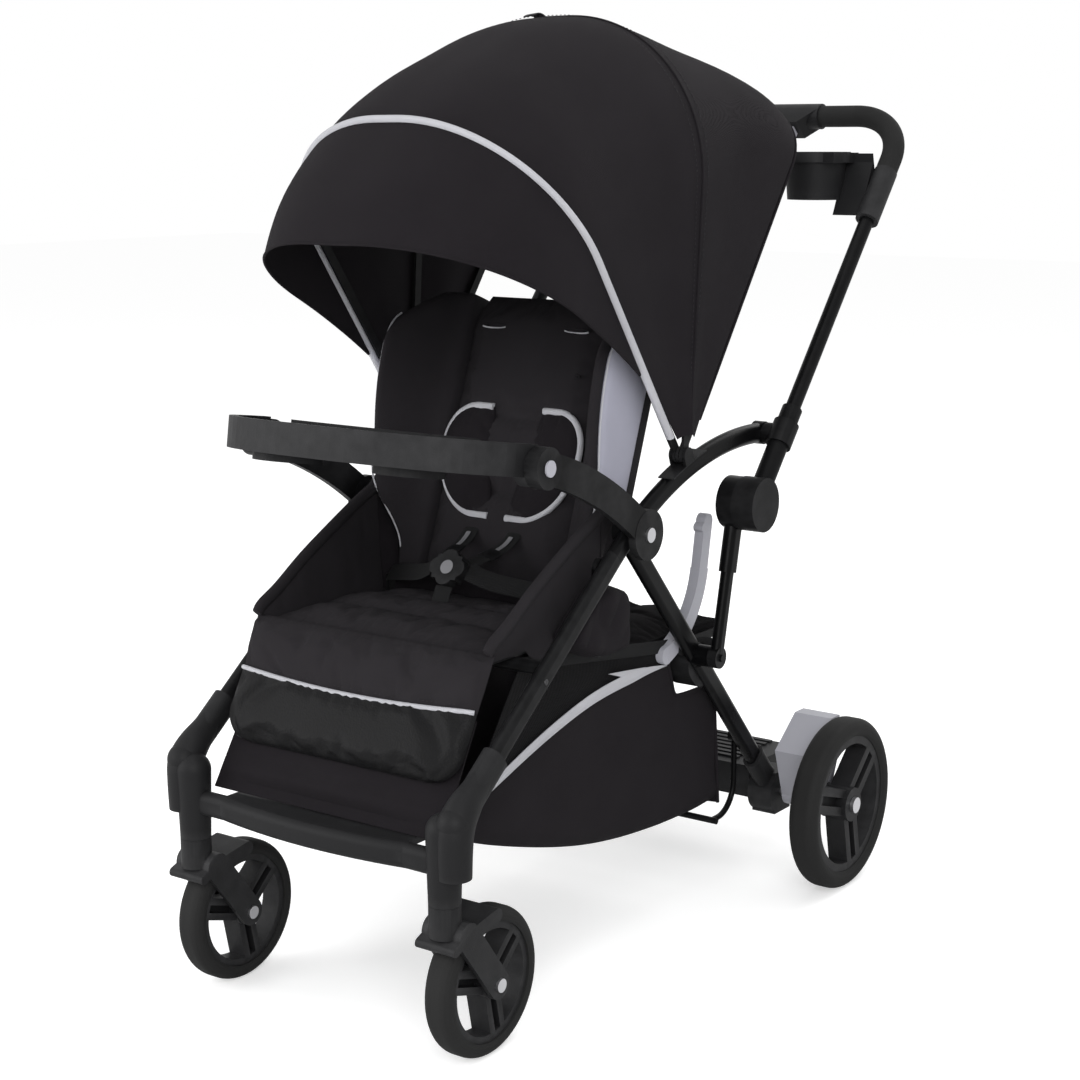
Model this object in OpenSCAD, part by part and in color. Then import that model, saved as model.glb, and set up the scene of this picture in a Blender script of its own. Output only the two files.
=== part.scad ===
// Tandem sit-and-stand stroller: a reclining seat in front, a bench and a standing
// platform behind, a folding tube frame on swivel casters and a three-bow canopy.
// Lengths are millimetres. The front is towards -Y, +X is the rider's left, +Z is up.
// The wheels stand on Z = 0 and the origin lies below the middle of the overall length.

/* [Overall] */
// Overall length, front tyre to handle grip
overall_l = 1039; // [1010:1:1080]
// Height of the handle bar's centre line
handle_h = 1054; // [1020:1:1080]

/* [Wheels] */
// Front wheel diameter
front_wheel_d = 175; // [165:1:185]
// Front wheel width
front_wheel_w = 36; // [30:1:38]
// Distance between the front wheels' middle planes
front_track = 380; // [370:1:386]
// Distance the front wheel trails behind its caster stem
caster_trail = 65; // [60:1:68]
// Rear wheel diameter
rear_wheel_d = 238; // [225:1:250]
// Rear wheel width
rear_wheel_w = 41; // [34:1:46]
// Distance between the rear wheels' middle planes
rear_track = 548; // [540:1:570]
// Distance between the front and rear axles
wheel_base = 715; // [700:1:730]
// Radius of the front axle bolt
front_axle_r = 5; // [4:0.5:6]
// Radius of the rear axle
rear_axle_r = 8; // [6:0.5:9]

/* [Frame] */
// Middle plane of the front leg tubes, out from the centre
leg_x = 205; // [203:1:207]
// Tube width seen from the side
tube_w = 26; // [22:1:28]
// Tube thickness across the stroller
tube_t = 16; // [12:1:16]
// Rise of the front legs above level, degrees
leg_angle = 38.2; // [37:0.1:39]
// Straight length of each front leg above its socket
leg_l = 300; // [292:1:306]
// Bend radius of the arm that carries on from each leg
arm_bend_r = 516; // [505:1:530]
// Turn of that bend, degrees
arm_turn = 41.2; // [40:0.1:42]
// Height at which the legs leave their sockets
leg_foot_h = 350; // [346:1:354]
// Distance of that place behind the caster stems
leg_foot_back = 73; // [70:1:76]
// Height of the seam between the socket and the caster
stem_seam_h = 199; // [196:1:203]
// Middle plane of the rear legs at the hub
rear_leg_top_x = 186; // [184:0.5:186]
// Middle plane of the rear legs at the axle
rear_leg_foot_x = 166; // [160:1:172]
// Rear tube width seen from the side
rear_tube_w = 28; // [24:1:30]
// Rear tube thickness across the stroller
rear_tube_t = 15; // [12:1:15]

/* [Handle and fold] */
// Middle plane of the handle's side tubes
handle_x = 238; // [237:1:242]
// Radius of the handle tube
handle_r = 10; // [9:0.5:11]
// Radius of the foam grip
grip_r = 15; // [14:0.5:17]
// Corner radius of the handle
handle_corner_r = 78; // [60:1:90]
// Distance from the handle pivot down to the knuckle
knuckle_drop = 107; // [100:1:112]
// Radius of the knuckle
knuckle_r = 35; // [30:1:37]
// Distance from the hub pivot down the rear leg to the strut's foot
strut_foot_along = 265; // [258:1:272]
// Radius of the frame's hinge pins
pin_r = 5; // [4:0.5:6]

/* [Child tray] */
// Distance of the tray pivot in front of the hub pivot
tray_reach = 207; // [200:1:214]
// Height of the tray pivot above the hub pivot
tray_rise = 107; // [102:1:112]
// Depth of the tray in front of its pivot
tray_depth = 148; // [135:1:160]
// Height of the tray's wall
tray_wall_h = 37; // [32:1:44]
// Radius of each cup well
tray_cup_r = 38; // [34:1:42]
// Radius of the release button
button_r = 9.5; // [8:0.5:11]

/* [Seat] */
// Width of the seat cushion
seat_w = 330; // [310:2:340]
// Depth of the seat cushion
seat_d = 226; // [210:1:232]
// Height of the seat board's top
seat_board_h = 442; // [439:1:446]
// Thickness of the cushion at its crown
seat_pad_t = 26; // [20:1:30]
// Height of the backrest pad
back_h = 372; // [350:1:378]
// Lean of the backrest at its upright place, degrees
back_lean = 20; // [18:0.5:22]
// Half width of the backrest pad
back_half_w = 171; // [160:1:172]
// Forward reach of the side wings
wing_reach = 96; // [80:1:100]

/* [Canopy] */
// Half width of the front bow
bow_front_w = 205.5; // [204:0.5:206]
// Length of the front bow from the pivot to its crown
bow_front_l = 497; // [480:1:505]
// Angle of the front bow above the level line behind it, degrees
bow_front_a = 126; // [122:0.5:128]
// Half width of the middle bow
bow_mid_w = 216; // [215.5:0.5:218]
// Length of the middle bow
bow_mid_l = 527; // [515:1:535]
// Angle of the middle bow, degrees
bow_mid_a = 86; // [84:0.5:90]
// Half width of the rear bow
bow_rear_w = 210.7; // [210.5:0.1:211]
// Length of the rear bow
bow_rear_l = 522; // [510:1:530]
// Angle of the rear bow, degrees
bow_rear_a = 54; // [52:0.5:57]

/* [Bench, platform and basket] */
// Height of the bench board's top
bench_h = 378; // [370:1:384]
// Width of the bench
bench_w = 300; // [280:2:310]
// Depth of the bench
bench_d = 200; // [180:1:210]
// Width of the standing platform
platform_w = 286; // [260:2:290]
// Depth of the standing platform
platform_d = 140; // [120:1:150]
// Height of the standing platform's top
platform_h = 153; // [148:1:158]
// Half width of the basket
basket_half_w = 158; // [150:1:160]

/* [Hidden] */
// Smoothness of round shapes
$fn = 64;
// Amount by which every cut passes the face it opens
overrun = 1;
// Clearance between a running pin and its hole
run_gap = 0.05;
// Clearance between neighbours that move or that are soft
gap = 0.4;

// Wheels and casters
front_wheel_r = front_wheel_d / 2;
rear_wheel_r = rear_wheel_d / 2;
front_axle_y = front_wheel_r - overall_l / 2;
rear_axle_y = front_axle_y + wheel_base;
stem_y = front_axle_y - caster_trail;
front_x = front_track / 2;
rear_x = rear_track / 2;
tyre_share = 0.2;
hub_share = 0.2;
rim_lip_share = 0.09;
spoke_count = 3;
spoke_phase = 42;
spoke_half_gap_share = 0.055;
spoke_w_share = 0.1;
fork_gap = 3;
fork_t = 6;
fork_arm_w = 34;
stem_r = 18.5;
stem_pin_r = 6;
stem_pin_l = 58;
hood_clear = 4;
hood_w = 52;
hood_lip = 5;
bolt_head_r = 8;
bolt_head_t = 3;
axle_cap_r = 11;
axle_cap_t = 5;

// Side view helpers: every place is [y, z]
leg_dir = [cos(leg_angle), sin(leg_angle)];
leg_foot = [stem_y + leg_foot_back, leg_foot_h];
leg_top = leg_foot + leg_l * leg_dir;
arm_centre = leg_top + arm_bend_r * [sin(leg_angle), -cos(leg_angle)];
function on_leg(d) = leg_foot + d * leg_dir;
function on_arm(turn, lift) =
    arm_centre + (arm_bend_r + lift) * [-sin(leg_angle - turn), cos(leg_angle - turn)];
function heading(a, b) = atan2(b[1] - a[1], b[0] - a[0]);

// Width of the fold housing, which reaches furthest back on the handle
housing_w = 36;

// Pivots of the folding frame
hub_turn = 6;
hub_drop = 11;
hub = on_arm(hub_turn, -hub_drop);
handle_pivot = on_arm(arm_turn, 0);
bar = [overall_l / 2 - housing_w / 2, handle_h];
handle_a = heading(handle_pivot, bar);
handle_dir = [cos(handle_a), sin(handle_a)];
handle_l = norm(bar - handle_pivot);
knuckle = handle_pivot - knuckle_drop * handle_dir;
axle = [rear_axle_y, rear_wheel_r];
rear_leg_a = heading(hub, axle);
rear_leg_l = norm(axle - hub);
rear_leg_dir = [cos(rear_leg_a), sin(rear_leg_a)];
strut_foot = hub + strut_foot_along * rear_leg_dir;
strut_a = heading(strut_foot, knuckle);
strut_l = norm(knuckle - strut_foot);
tray_pivot = hub + [-tray_reach, tray_rise];

// Hub, tray arm and canopy clip
cover_in_x = leg_x + tube_t / 2 + gap;
cover_t = 10;
cover_out_x = cover_in_x + cover_t;
hub_r = 31;
hub_eye_r = 19;
lug_t = tube_t - overrun;
seam_turn = gap / arm_bend_r * 180 / PI;
tray_disc_r = 24;
cover_w = 38;
cover_turn = 24;
tray_pin_r = 8;
tray_cup_share = [0.44, 0.54];
tray_corner_power = 0.8;
tray_belly_share = 0.2;
tray_lug_t = 16;
// Rise of the tray's rim over its pivot, and its slope up to the front
tray_top = 25.5;
tray_lean = 8.5;
button_t = 8;
button_proud = 2;
pin_head_r = 9;
pin_head_t = 3;
clip_turn = 19.2;
clip_lift = 25;
canopy_pivot = on_arm(clip_turn, clip_lift);
clip_l = 78;
clip_ear_t = 4;
clip_ear_r = 10;
bow_t = 4;
bow_strip = 12;
bow_eye_r = 10;
bow_pin_r = 4;

// Leg sockets and footrest bar
socket_wall = 5;
socket_l = 74;
footrest_h = 244;
footrest_bow = 13;
footrest_t = 20;
footrest_w = 30;
footrest_shelf = 46;
footrest_shelf_t = 7;
socket_arm_l = 52;

// Rear frame
boot_w = 36;
boot_d = 74;
boot_h = 60;
boot_sleeve_l = 58;
boot_wall = 4;
platform_t = 46;
platform_wall = 5;
platform_rib_t = 3;
platform_ribs = 7;
platform_ahead = 24;
platform_front_y = rear_axle_y - platform_ahead;
rib_start_share = 0.3;
bench_back = 86;
bench_front_y = hub[0] + bench_back;
bench_board_t = 12;
bench_pad_t = 30;
bench_lug_t = 8;
grab_x = 160;
grab_w = 22;
grab_t = 14;
grab_bend_r = 128;
grab_turn = 62;
grab_rise = 62;
grab_foot_back = 50;
grab_foot_y = bench_front_y + grab_foot_back;
wire_r = 4;
wire_leg_along = 470;
wire_bend_r = 42;
wire_low_h = 112;
wire_run = 15;
pedal_in_x = 192;
pedal_out_gap = 4;
pedal_wall = 4;
pedal_hub_r = 17;
pedal_h = 112;

// Handle
sleeve_r = 13.5;
collar_r = 17;
collar_l = 34;
sleeve_over = 40;
lug_r = 14;
knuckle_lap = 5;
knuckle_in_x = leg_x - knuckle_lap;
knuckle_half_t = 22;
knuckle_out_t = 32;
strut_w = 20;
strut_t = 14;
strut_x = knuckle_in_x + knuckle_half_t / 2;
grip_leg = 22;
grip_start = handle_l - handle_corner_r - grip_leg;
housing_half_l = 104;
housing_depth = 40;
trigger_half_l = 70;
trigger_t = 10;
trigger_w = 16;
parent_along = 450;
parent_cup_r = 35;
parent_cup_flare = 5;
parent_cup_h = 64;
parent_wall = 3;
parent_cup_x = 150;
parent_cup_fwd = 50;
parent_deck_t = 14;
parent_deck_d = 74;
parent_rim_w = 8;
parent_clamp_l = 84;
parent_clamp_end = grip_start - gap;
clamp_shares = [0.9, 0.1];

// Seat
seat_back = 109;
seat_front_y = stem_y + seat_back;
seat_rear_y = seat_front_y + seat_d;
seat_board_t = 5;
seat_edge_share = 0.4;
side_x = 175;
side_front_h = 20;
side_rear_h = 140;
cross_r = 8;
hanger_w = 24;
hanger_t = 6;
cross_ahead = 40;
cross_h = seat_board_h - seat_board_t - cross_r - gap;
cross_front = on_leg((cross_h - leg_foot[1]) / sin(leg_angle));
recline_back = 9;
recline_rise = 28;
recline_pivot = [seat_rear_y + recline_back, seat_board_h + recline_rise];
recline_lug_t = 6;
recline_lug_r = 11;
recline_pin_r = 4;
recline_x = 150;
back_board_t = 5;
back_pad_t = 32;
back_core_half_w = 108;
back_channel = 5;
channel_w_share = 0.033;
apron_drop = 60;
apron_fwd = 22;
apron_run = 28;
calf_t = 16;
calf_drop = 74;
calf_fwd = 34;
calf_half_w = 150;
calf_foot_half_w = 132;
panel_t = 4;
pad_gap = 6;
harness_pad_foot = 84;
harness_pad_h = 140;
harness_pad_t = 13;
harness_pad_end_w = 22;
harness_pad_swell = 54;
harness_low_x = 13;
harness_high_x = 38;
strap_w = 24;
strap_t = 2.4;
strap_tail = 46;
buckle_w = 52;
buckle_h = 46;
buckle_t = 15;
buckle_ahead = 78;
buckle_y = seat_rear_y - buckle_ahead;
buckle_lean = 32;
buckle_button_r = 9;
buckle_button_t = 4;
buckle_rise = 38;

// Canopy cloth
cloth_t = 2;
cloth_gap = 2;
canopy_foot = 26;
canopy_sag = 9;
foot_flare = 4;
foot_flare_power = 12;
visor_spread = 20;
visor_dip_share = 0.05;
bow_front_corner_share = 0.93;
bow_mid_corner_share = 0.93;
bow_rear_corner_share = 0.43;

// Basket
basket_wall = 3;
basket_back = 69;
basket_ahead = 135;
basket_front_y = stem_y + basket_back;
basket_rear_y = rear_axle_y - basket_ahead;
basket_low_h = 131;
basket_top_h = 374;
basket_run_shares = [0, 0.375, 0.675, 0.917, 1, 0.997, 0.979, 0.9375];
basket_rise_shares = [0.45, 0.165, 0.035, 0, 0.004, 0.2, 0.45, 0.705];
rim_rear_run_shares = [0.75, 0.708, 0.705, 0.549];
rim_rear_rise_shares = [0.82, 0.88, 1.05, 1.11];
rim_front_run_shares = [0.153, 0];
rim_front_rise_shares = [1.17, 0.62];

// Colours
c_tube = [0.05, 0.05, 0.055];
c_plastic = [0.12, 0.12, 0.125];
c_grey = [0.66, 0.66, 0.7];
c_fabric = [0.07, 0.065, 0.075];
c_steel = [0.7, 0.7, 0.72];
c_rubber = [0.09, 0.09, 0.09];
c_vinyl = [0.16, 0.16, 0.16];
c_foam = [0.14, 0.14, 0.14];

// Shared shapes

// Left side as drawn, right side as its mirror image
module on_side(side) {
    mirror([side < 0 ? 1 : 0, 0, 0]) children();
}

// Both sides
module pair() {
    for (side = [1, -1]) on_side(side) children();
}

// Draws in the side view: the child's X becomes Y, its Y becomes Z, its Z becomes X
module side_view(x = 0, p = [0, 0], turn = 0) {
    translate([x, p[0], p[1]]) rotate([90, 0, 90]) rotate([0, 0, turn]) children();
}

// Round rod along X from x0 to x1 at the side place p
module rod_x(p, r, x0, x1) {
    side_view(x0, p) cylinder(r = r, h = x1 - x0);
}

// Flat piece in the side view between two X planes
module plate_x(x0, x1) {
    translate([x0, 0, 0]) rotate([90, 0, 90]) linear_extrude(x1 - x0) children();
}

// Flat oval with straight sides, w by t, long way along the first axis
module oval(w, t) {
    square([w - t, t], center = true);
    for (s = [-1, 1]) translate([s * (w - t) / 2, 0]) circle(d = t);
}

// Straight oval bar from side place a to b in the plane X = x
module oval_bar(a, b, x, w, t) {
    side_view(x, a, heading(a, b))
        rotate([0, 90, 0]) linear_extrude(norm(b - a)) rotate(90) oval(w, t);
}

// Round-ended flat link outline from a to b in side view coordinates
module link_2d(a, b, w) {
    translate(a) rotate(heading(a, b)) {
        translate([0, -w / 2]) square([norm(b - a), w]);
        circle(d = w);
        translate([norm(b - a), 0]) circle(d = w);
    }
}

// Closed sheet between an outer and an inner surface, each a function of (u, v) in 0..1
module soft_sheet(nu, nv, outer, inner) {
    row = nv + 1;
    layer = (nu + 1) * row;
    function at(i, j, k) = k * layer + i * row + j;
    points = [for (f = [outer, inner]) for (i = [0:nu]) for (j = [0:nv]) f(i / nu, j / nv)];
    tops = [for (i = [0:nu - 1]) for (j = [0:nv - 1]) each [
        [at(i, j, 0), at(i + 1, j, 0), at(i + 1, j + 1, 0)],
        [at(i, j, 0), at(i + 1, j + 1, 0), at(i, j + 1, 0)],
        [at(i, j, 1), at(i + 1, j + 1, 1), at(i + 1, j, 1)],
        [at(i, j, 1), at(i, j + 1, 1), at(i + 1, j + 1, 1)]]];
    ends_v = [for (i = [0:nu - 1]) each [
        [at(i + 1, 0, 0), at(i, 0, 0), at(i, 0, 1)],
        [at(i + 1, 0, 0), at(i, 0, 1), at(i + 1, 0, 1)],
        [at(i, nv, 0), at(i + 1, nv, 0), at(i + 1, nv, 1)],
        [at(i, nv, 0), at(i + 1, nv, 1), at(i, nv, 1)]]];
    ends_u = [for (j = [0:nv - 1]) each [
        [at(0, j, 0), at(0, j + 1, 0), at(0, j + 1, 1)],
        [at(0, j, 0), at(0, j + 1, 1), at(0, j, 1)],
        [at(nu, j + 1, 0), at(nu, j, 0), at(nu, j, 1)],
        [at(nu, j + 1, 0), at(nu, j, 1), at(nu, j + 1, 1)]]];
    polyhedron(points, concat(tops, ends_v, ends_u));
}

// Rounded fall-off from 1 in the middle of 0..1 to 0 at both ends
function crown(t, power = 4) = 1 - pow(abs(2 * t - 1), power);
// Narrow dip of unit depth around t = c
function channel(t, c, width_share) = exp(-pow((t - c) / width_share, 2));
// Two such dips
function channels(t, c_shares) =
    channel(t, c_shares[0], channel_w_share) + channel(t, c_shares[1], channel_w_share);

// Front frame

module front_legs() {
    color(c_tube) pair() oval_bar(on_leg(-socket_l), leg_top, leg_x, tube_w, tube_t);
}

// Curved arms that carry on from the legs, with the eyes for the hub and handle pins
module arm_tubes() {
    color(c_tube) pair() difference() {
        union() {
            side_view(leg_x, arm_centre, 90 + leg_angle - arm_turn)
                rotate_extrude(angle = arm_turn - seam_turn, $fn = 180)
                    translate([arm_bend_r, 0]) oval(tube_w, tube_t);
            rod_x(handle_pivot, lug_r + overrun, leg_x - lug_t / 2, leg_x + lug_t / 2);
            rod_x(hub, hub_eye_r, leg_x - lug_t / 2, leg_x + lug_t / 2);
        }
        rod_x(handle_pivot, pin_r + run_gap, leg_x - tube_t, leg_x + tube_t);
        rod_x(hub, pin_r + run_gap, leg_x - tube_t, leg_x + tube_t);
    }
}

// Moulded socket: a sleeve on the leg, a round elbow, the upright stem and an arm inwards
module leg_socket(side) {
    sleeve_w = tube_w + 2 * socket_wall;
    sleeve_t = tube_t + 2 * socket_wall;
    corner = leg_foot - leg_foot_back / cos(leg_angle) * leg_dir;
    elbow_r = sleeve_w / 2 + socket_wall / 2;
    barrel_top = corner[1] - elbow_r / 2;
    barrel_r = stem_r + socket_wall / 2;
    arm_end = front_x - socket_arm_l;
    color(c_plastic) on_side(side) difference() {
        union() {
            oval_bar(corner, leg_foot, leg_x, sleeve_w, sleeve_t);
            translate([leg_x, corner[0], corner[1]]) sphere(r = elbow_r);
            translate([front_x, stem_y, stem_seam_h])
                cylinder(r1 = stem_r, r2 = barrel_r, h = barrel_top - stem_seam_h);
            translate([front_x, stem_y, barrel_top]) sphere(r = barrel_r);
            side_view(arm_end, [stem_y, footrest_h]) linear_extrude(socket_arm_l)
                rotate(90) oval(footrest_w, footrest_t);
        }
        oval_bar(leg_foot - socket_l * leg_dir - gap * leg_dir, leg_foot + overrun * leg_dir,
            leg_x, tube_w + 2 * run_gap, tube_t + 2 * run_gap);
        translate([front_x, stem_y, stem_seam_h - overrun])
            cylinder(r = stem_pin_r + run_gap, h = stem_pin_l + overrun + gap);
    }
}

module leg_socket_left() { leg_socket(1); }
module leg_socket_right() { leg_socket(-1); }

// Bowed bar with a toe shelf between the two sockets
module footrest_bar() {
    half = front_x - socket_arm_l - run_gap;
    bow_r = (half * half + footrest_bow * footrest_bow) / (2 * footrest_bow);
    half_turn = asin((half + footrest_t) / bow_r);
    depth = footrest_bow + footrest_t + footrest_shelf;
    color(c_plastic) intersection() {
        translate([0, stem_y + bow_r - footrest_bow, footrest_h])
            rotate(-90 - half_turn) rotate_extrude(angle = 2 * half_turn, $fn = 180)
                translate([bow_r, 0]) {
                    rotate(90) oval(footrest_w, footrest_t);
                    translate([-footrest_shelf, footrest_w / 2 - footrest_shelf_t])
                        square([footrest_shelf, footrest_shelf_t]);
                }
        translate([-half, stem_y - depth, footrest_h - footrest_w])
            cube([2 * half, 2 * depth, 2 * footrest_w]);
    }
}

// Outboard cover from the tray pivot to the hub, with the tray's pin and button seat
module tray_arm(side) {
    start_a = heading(tray_pivot, hub) + cover_turn / 2;
    span = norm(hub - tray_pivot);
    bend_r = span / (2 * sin(cover_turn / 2));
    centre = tray_pivot + bend_r * [sin(start_a), -cos(start_a)];
    color(c_plastic) on_side(side) difference() {
        union() {
            side_view(cover_in_x + cover_t / 2, centre, 90 + start_a - cover_turn)
                rotate_extrude(angle = cover_turn)
                    translate([bend_r, 0]) square([cover_w, cover_t - 2 * gap], center = true);
            rod_x(tray_pivot, tray_disc_r, leg_x + gap, cover_out_x);
            rod_x(hub, hub_r, cover_in_x, cover_out_x);
            rod_x(tray_pivot, tray_pin_r, leg_x - tray_lug_t, leg_x + overrun);
        }
        rod_x(tray_pivot, button_r + run_gap, cover_out_x - button_t, cover_out_x + overrun);
        rod_x(hub, pin_r + run_gap, cover_in_x - overrun, cover_out_x + overrun);
    }
}

module tray_arm_left() { tray_arm(1); }
module tray_arm_right() { tray_arm(-1); }

// Shouldered bolts through cover, front tube and rear leg
module hub_pins() {
    inner = rear_leg_top_x - rear_tube_t / 2 - gap;
    color(c_steel) pair() {
        rod_x(hub, pin_r, inner, cover_out_x);
        rod_x(hub, pin_head_r, cover_out_x, cover_out_x + pin_head_t);
        rod_x(hub, pin_head_r, inner - pin_head_t, inner);
    }
}

// Clips on the arms with the canopy's pivot pins
module canopy_clips() {
    base_lift = tube_w / 2;
    inner = bow_front_w - bow_t - gap - clip_ear_t;
    outer = bow_mid_w + gap;
    half_turn = clip_l / 2 / arm_bend_r * 180 / PI;
    ear_drop = clip_lift - base_lift;
    color(c_plastic) pair() {
        for (x = [inner, outer]) difference() {
            plate_x(x, x + clip_ear_t)
                link_2d(on_arm(clip_turn, base_lift + clip_ear_r / 2), canopy_pivot, 2 * clip_ear_r);
            rod_x(arm_centre, arm_bend_r + base_lift, x - overrun, x + clip_ear_t + overrun);
        }
        side_view(inner, arm_centre, 90 + leg_angle - clip_turn - half_turn)
            rotate_extrude(angle = 2 * half_turn, $fn = 180)
                translate([arm_bend_r + base_lift, 0])
                    square([ear_drop - bow_eye_r - gap, outer + clip_ear_t - inner]);
        rod_x(canopy_pivot, bow_pin_r, inner + clip_ear_t / 2, outer + clip_ear_t / 2);
    }
}

// Cross tubes under the seat, the rear one hung from the legs on two plates
module seat_cross_tubes() {
    rear_p = [seat_rear_y - cross_ahead, cross_h];
    rear_d = (rear_p[0] - leg_foot[0]) / cos(leg_angle);
    leg_in_x = leg_x - tube_t / 2;
    color(c_tube) {
        rod_x(cross_front, cross_r, -leg_in_x, leg_in_x);
        rod_x(rear_p, cross_r, -leg_in_x + hanger_t / 2, leg_in_x - hanger_t / 2);
        pair() plate_x(leg_in_x - hanger_t, leg_in_x) link_2d(rear_p, on_leg(rear_d), hanger_w);
    }
}

// Seat

// Pressed seat pan with a lug and hinge pin each side for the backrest
module seat_board() {
    half = seat_w / 2 - seat_board_t;
    lug_in = recline_x + gap;
    color(c_plastic) {
        translate([-half, seat_front_y + seat_board_t, seat_board_h - seat_board_t])
            cube([2 * half, seat_d - 2 * seat_board_t, seat_board_t]);
        pair() {
            plate_x(lug_in, lug_in + recline_lug_t) union() {
                translate(recline_pivot) circle(r = recline_lug_r);
                translate([recline_pivot[0] - 2 * recline_lug_r, seat_board_h - seat_board_t])
                    square([3 * recline_lug_r, recline_pivot[1] - seat_board_h + seat_board_t]);
            }
            rod_x(recline_pivot, recline_pin_r, recline_x - 2 * recline_lug_t, lug_in + overrun);
        }
    }
}

// Crowned cushion with drawn-in sides and two cross channels, between two upright cloth sides
module seat_cushion() {
    half = seat_w / 2;
    base = seat_board_h + gap;
    draw_in = 7;
    lugs = recline_x - pad_gap;
    lug_share = 0.72;
    channel_shares = [0.36, 0.68];
    function place(u, v) =
        let (y = seat_front_y + u * (seat_d - 2 * pad_gap))
        let (w = (u > lug_share ? lugs : half) - draw_in * crown(u, 2))
        [(2 * v - 1) * w, y];
    function puff(u, v) = seat_pad_t * (seat_edge_share + (1 - seat_edge_share) * crown(u, 4) * crown(v, 6))
        - back_channel * crown(v, 6) * channels(u, channel_shares);
    top = function (u, v) concat(place(u, v), base + puff(u, v));
    under = function (u, v) concat(place(u, v), base);
    rise = function (u) mix(side_front_h, side_rear_h, u);
    side_in = function (u, v) [mix(half + gap, side_x, crown(v / 2, 2)),
        mix(seat_front_y, seat_rear_y - pad_gap, u), base + v * rise(u)];
    side_out = function (u, v) side_in(u, v) + [cloth_t, 0, 0];
    color(c_fabric) {
        soft_sheet(24, 16, top, under);
        pair() soft_sheet(10, 5, side_in, side_out);
    }
}

// Apron over the seat's front edge and padded calf flap below it
module calf_rest() {
    top_p = [seat_front_y - gap, seat_board_h + gap + seat_edge_share * seat_pad_t];
    mid_p = top_p + [-apron_run, -apron_drop];
    low_p = mid_p + [-calf_fwd, -calf_drop];
    split_share = 0.42;
    edge_share = 0.35;
    normal_a = heading(low_p, top_p) + 90;
    out = [cos(normal_a), sin(normal_a)];
    function spine(u) = u < split_share ? top_p + (mid_p - top_p) * u / split_share
        : mid_p + (low_p - mid_p) * (u - split_share) / (1 - split_share);
    function half(u) = calf_half_w + (calf_foot_half_w - calf_half_w) * pow(u, 3);
    function puff(u, v) = calf_t * (edge_share + (1 - edge_share) * crown(u, 6) * crown(v, 8))
        - back_channel * channel(u, split_share, channel_w_share) * crown(v, 8);
    front = function (u, v) let (p = spine(u) + puff(u, v) * out)
        [(1 - 2 * v) * half(u), p[0], p[1]];
    back = function (u, v) let (p = spine(u)) [(1 - 2 * v) * half(u), p[0], p[1]];
    color(c_vinyl) soft_sheet(18, 14, front, back);
}

// Cloth panel from behind the calf flap down to the toe shelf, hanging in a shallow belly
module footwell_panel() {
    top_p = [seat_front_y - apron_fwd, seat_board_h - apron_drop];
    foot_p = [stem_y + footrest_t / 2 + panel_t, footrest_h + footrest_w / 2 + gap];
    belly = 12;
    normal_a = heading(foot_p, top_p) + 90;
    out = [cos(normal_a), sin(normal_a)];
    low_p = foot_p + [0, panel_t * out[1]];
    function spine(u, v) = top_p + (low_p - top_p) * u - belly * crown(u, 2) * crown(v, 4) * out;
    front = function (u, v) let (p = spine(u, v)) [(1 - 2 * v) * calf_foot_half_w, p[0], p[1]];
    back = function (u, v) let (p = spine(u, v) - panel_t * out)
        [(1 - 2 * v) * calf_foot_half_w, p[0], p[1]];
    color(c_fabric) soft_sheet(8, 8, front, back);
}

// Lap and crotch webbing that meets at the buckle
module lower_harness() {
    base = seat_board_h + seat_pad_t + 2 * gap;
    reach = recline_x - 2 * strap_w;
    up = [0, sin(buckle_lean), cos(buckle_lean)];
    out = [0, -cos(buckle_lean), sin(buckle_lean)];
    centre = [0, buckle_y, seat_board_h + seat_pad_t + buckle_rise];
    start = centre + [buckle_w / 2 + gap, 0, 0];
    end = [reach, buckle_y + 2 * strap_w, base];
    lap_back = function (u, v) mix(start + (v - 0.5) * strap_w * up, end + [0, 0, v * strap_w], u);
    lap_front = function (u, v) lap_back(u, v) + strap_t * out;
    drop = buckle_rise - 2 * gap - strap_t / 2 * sin(buckle_lean);
    crotch_l = drop / cos(buckle_lean) - buckle_h / 2 - gap;
    color(c_fabric) {
        pair() soft_sheet(8, 1, lap_back, lap_front);
        buckle_place() translate([-strap_w / 2, -buckle_h / 2 - gap - crotch_l, -strap_t / 2])
            cube([strap_w, crotch_l, strap_t]);
    }
}

// Buckle body leaning back from the crotch strap
module buckle_place() {
    translate([0, buckle_y, seat_board_h + seat_pad_t + buckle_rise]) rotate([90 - buckle_lean, 0, 0])
        children();
}

module buckle() {
    corner = buckle_t / 2;
    color(c_plastic) buckle_place() difference() {
        linear_extrude(buckle_t, center = true) union() {
            oval(buckle_w, buckle_h / 2);
            rotate(90) oval(buckle_h, buckle_w / 2);
            square([buckle_w - 2 * corner, buckle_h - 2 * corner], center = true);
        }
        translate([0, 0, buckle_t / 2 - buckle_button_t])
            cylinder(r = buckle_button_r + run_gap, h = buckle_button_t + overrun);
    }
}

// Round release button in the buckle's face
module buckle_button() {
    color(c_grey) buckle_place() translate([0, 0, buckle_t / 2 - buckle_button_t / 2])
        cylinder(r = buckle_button_r, h = buckle_button_t / 2 + gap);
}

// Backrest

// Draws upright in the backrest's own place: Y forward is negative, Z up from its hinge
module back_place() {
    translate([0, recline_pivot[0], recline_pivot[1]]) rotate([-back_lean, 0, 0]) children();
}

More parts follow.
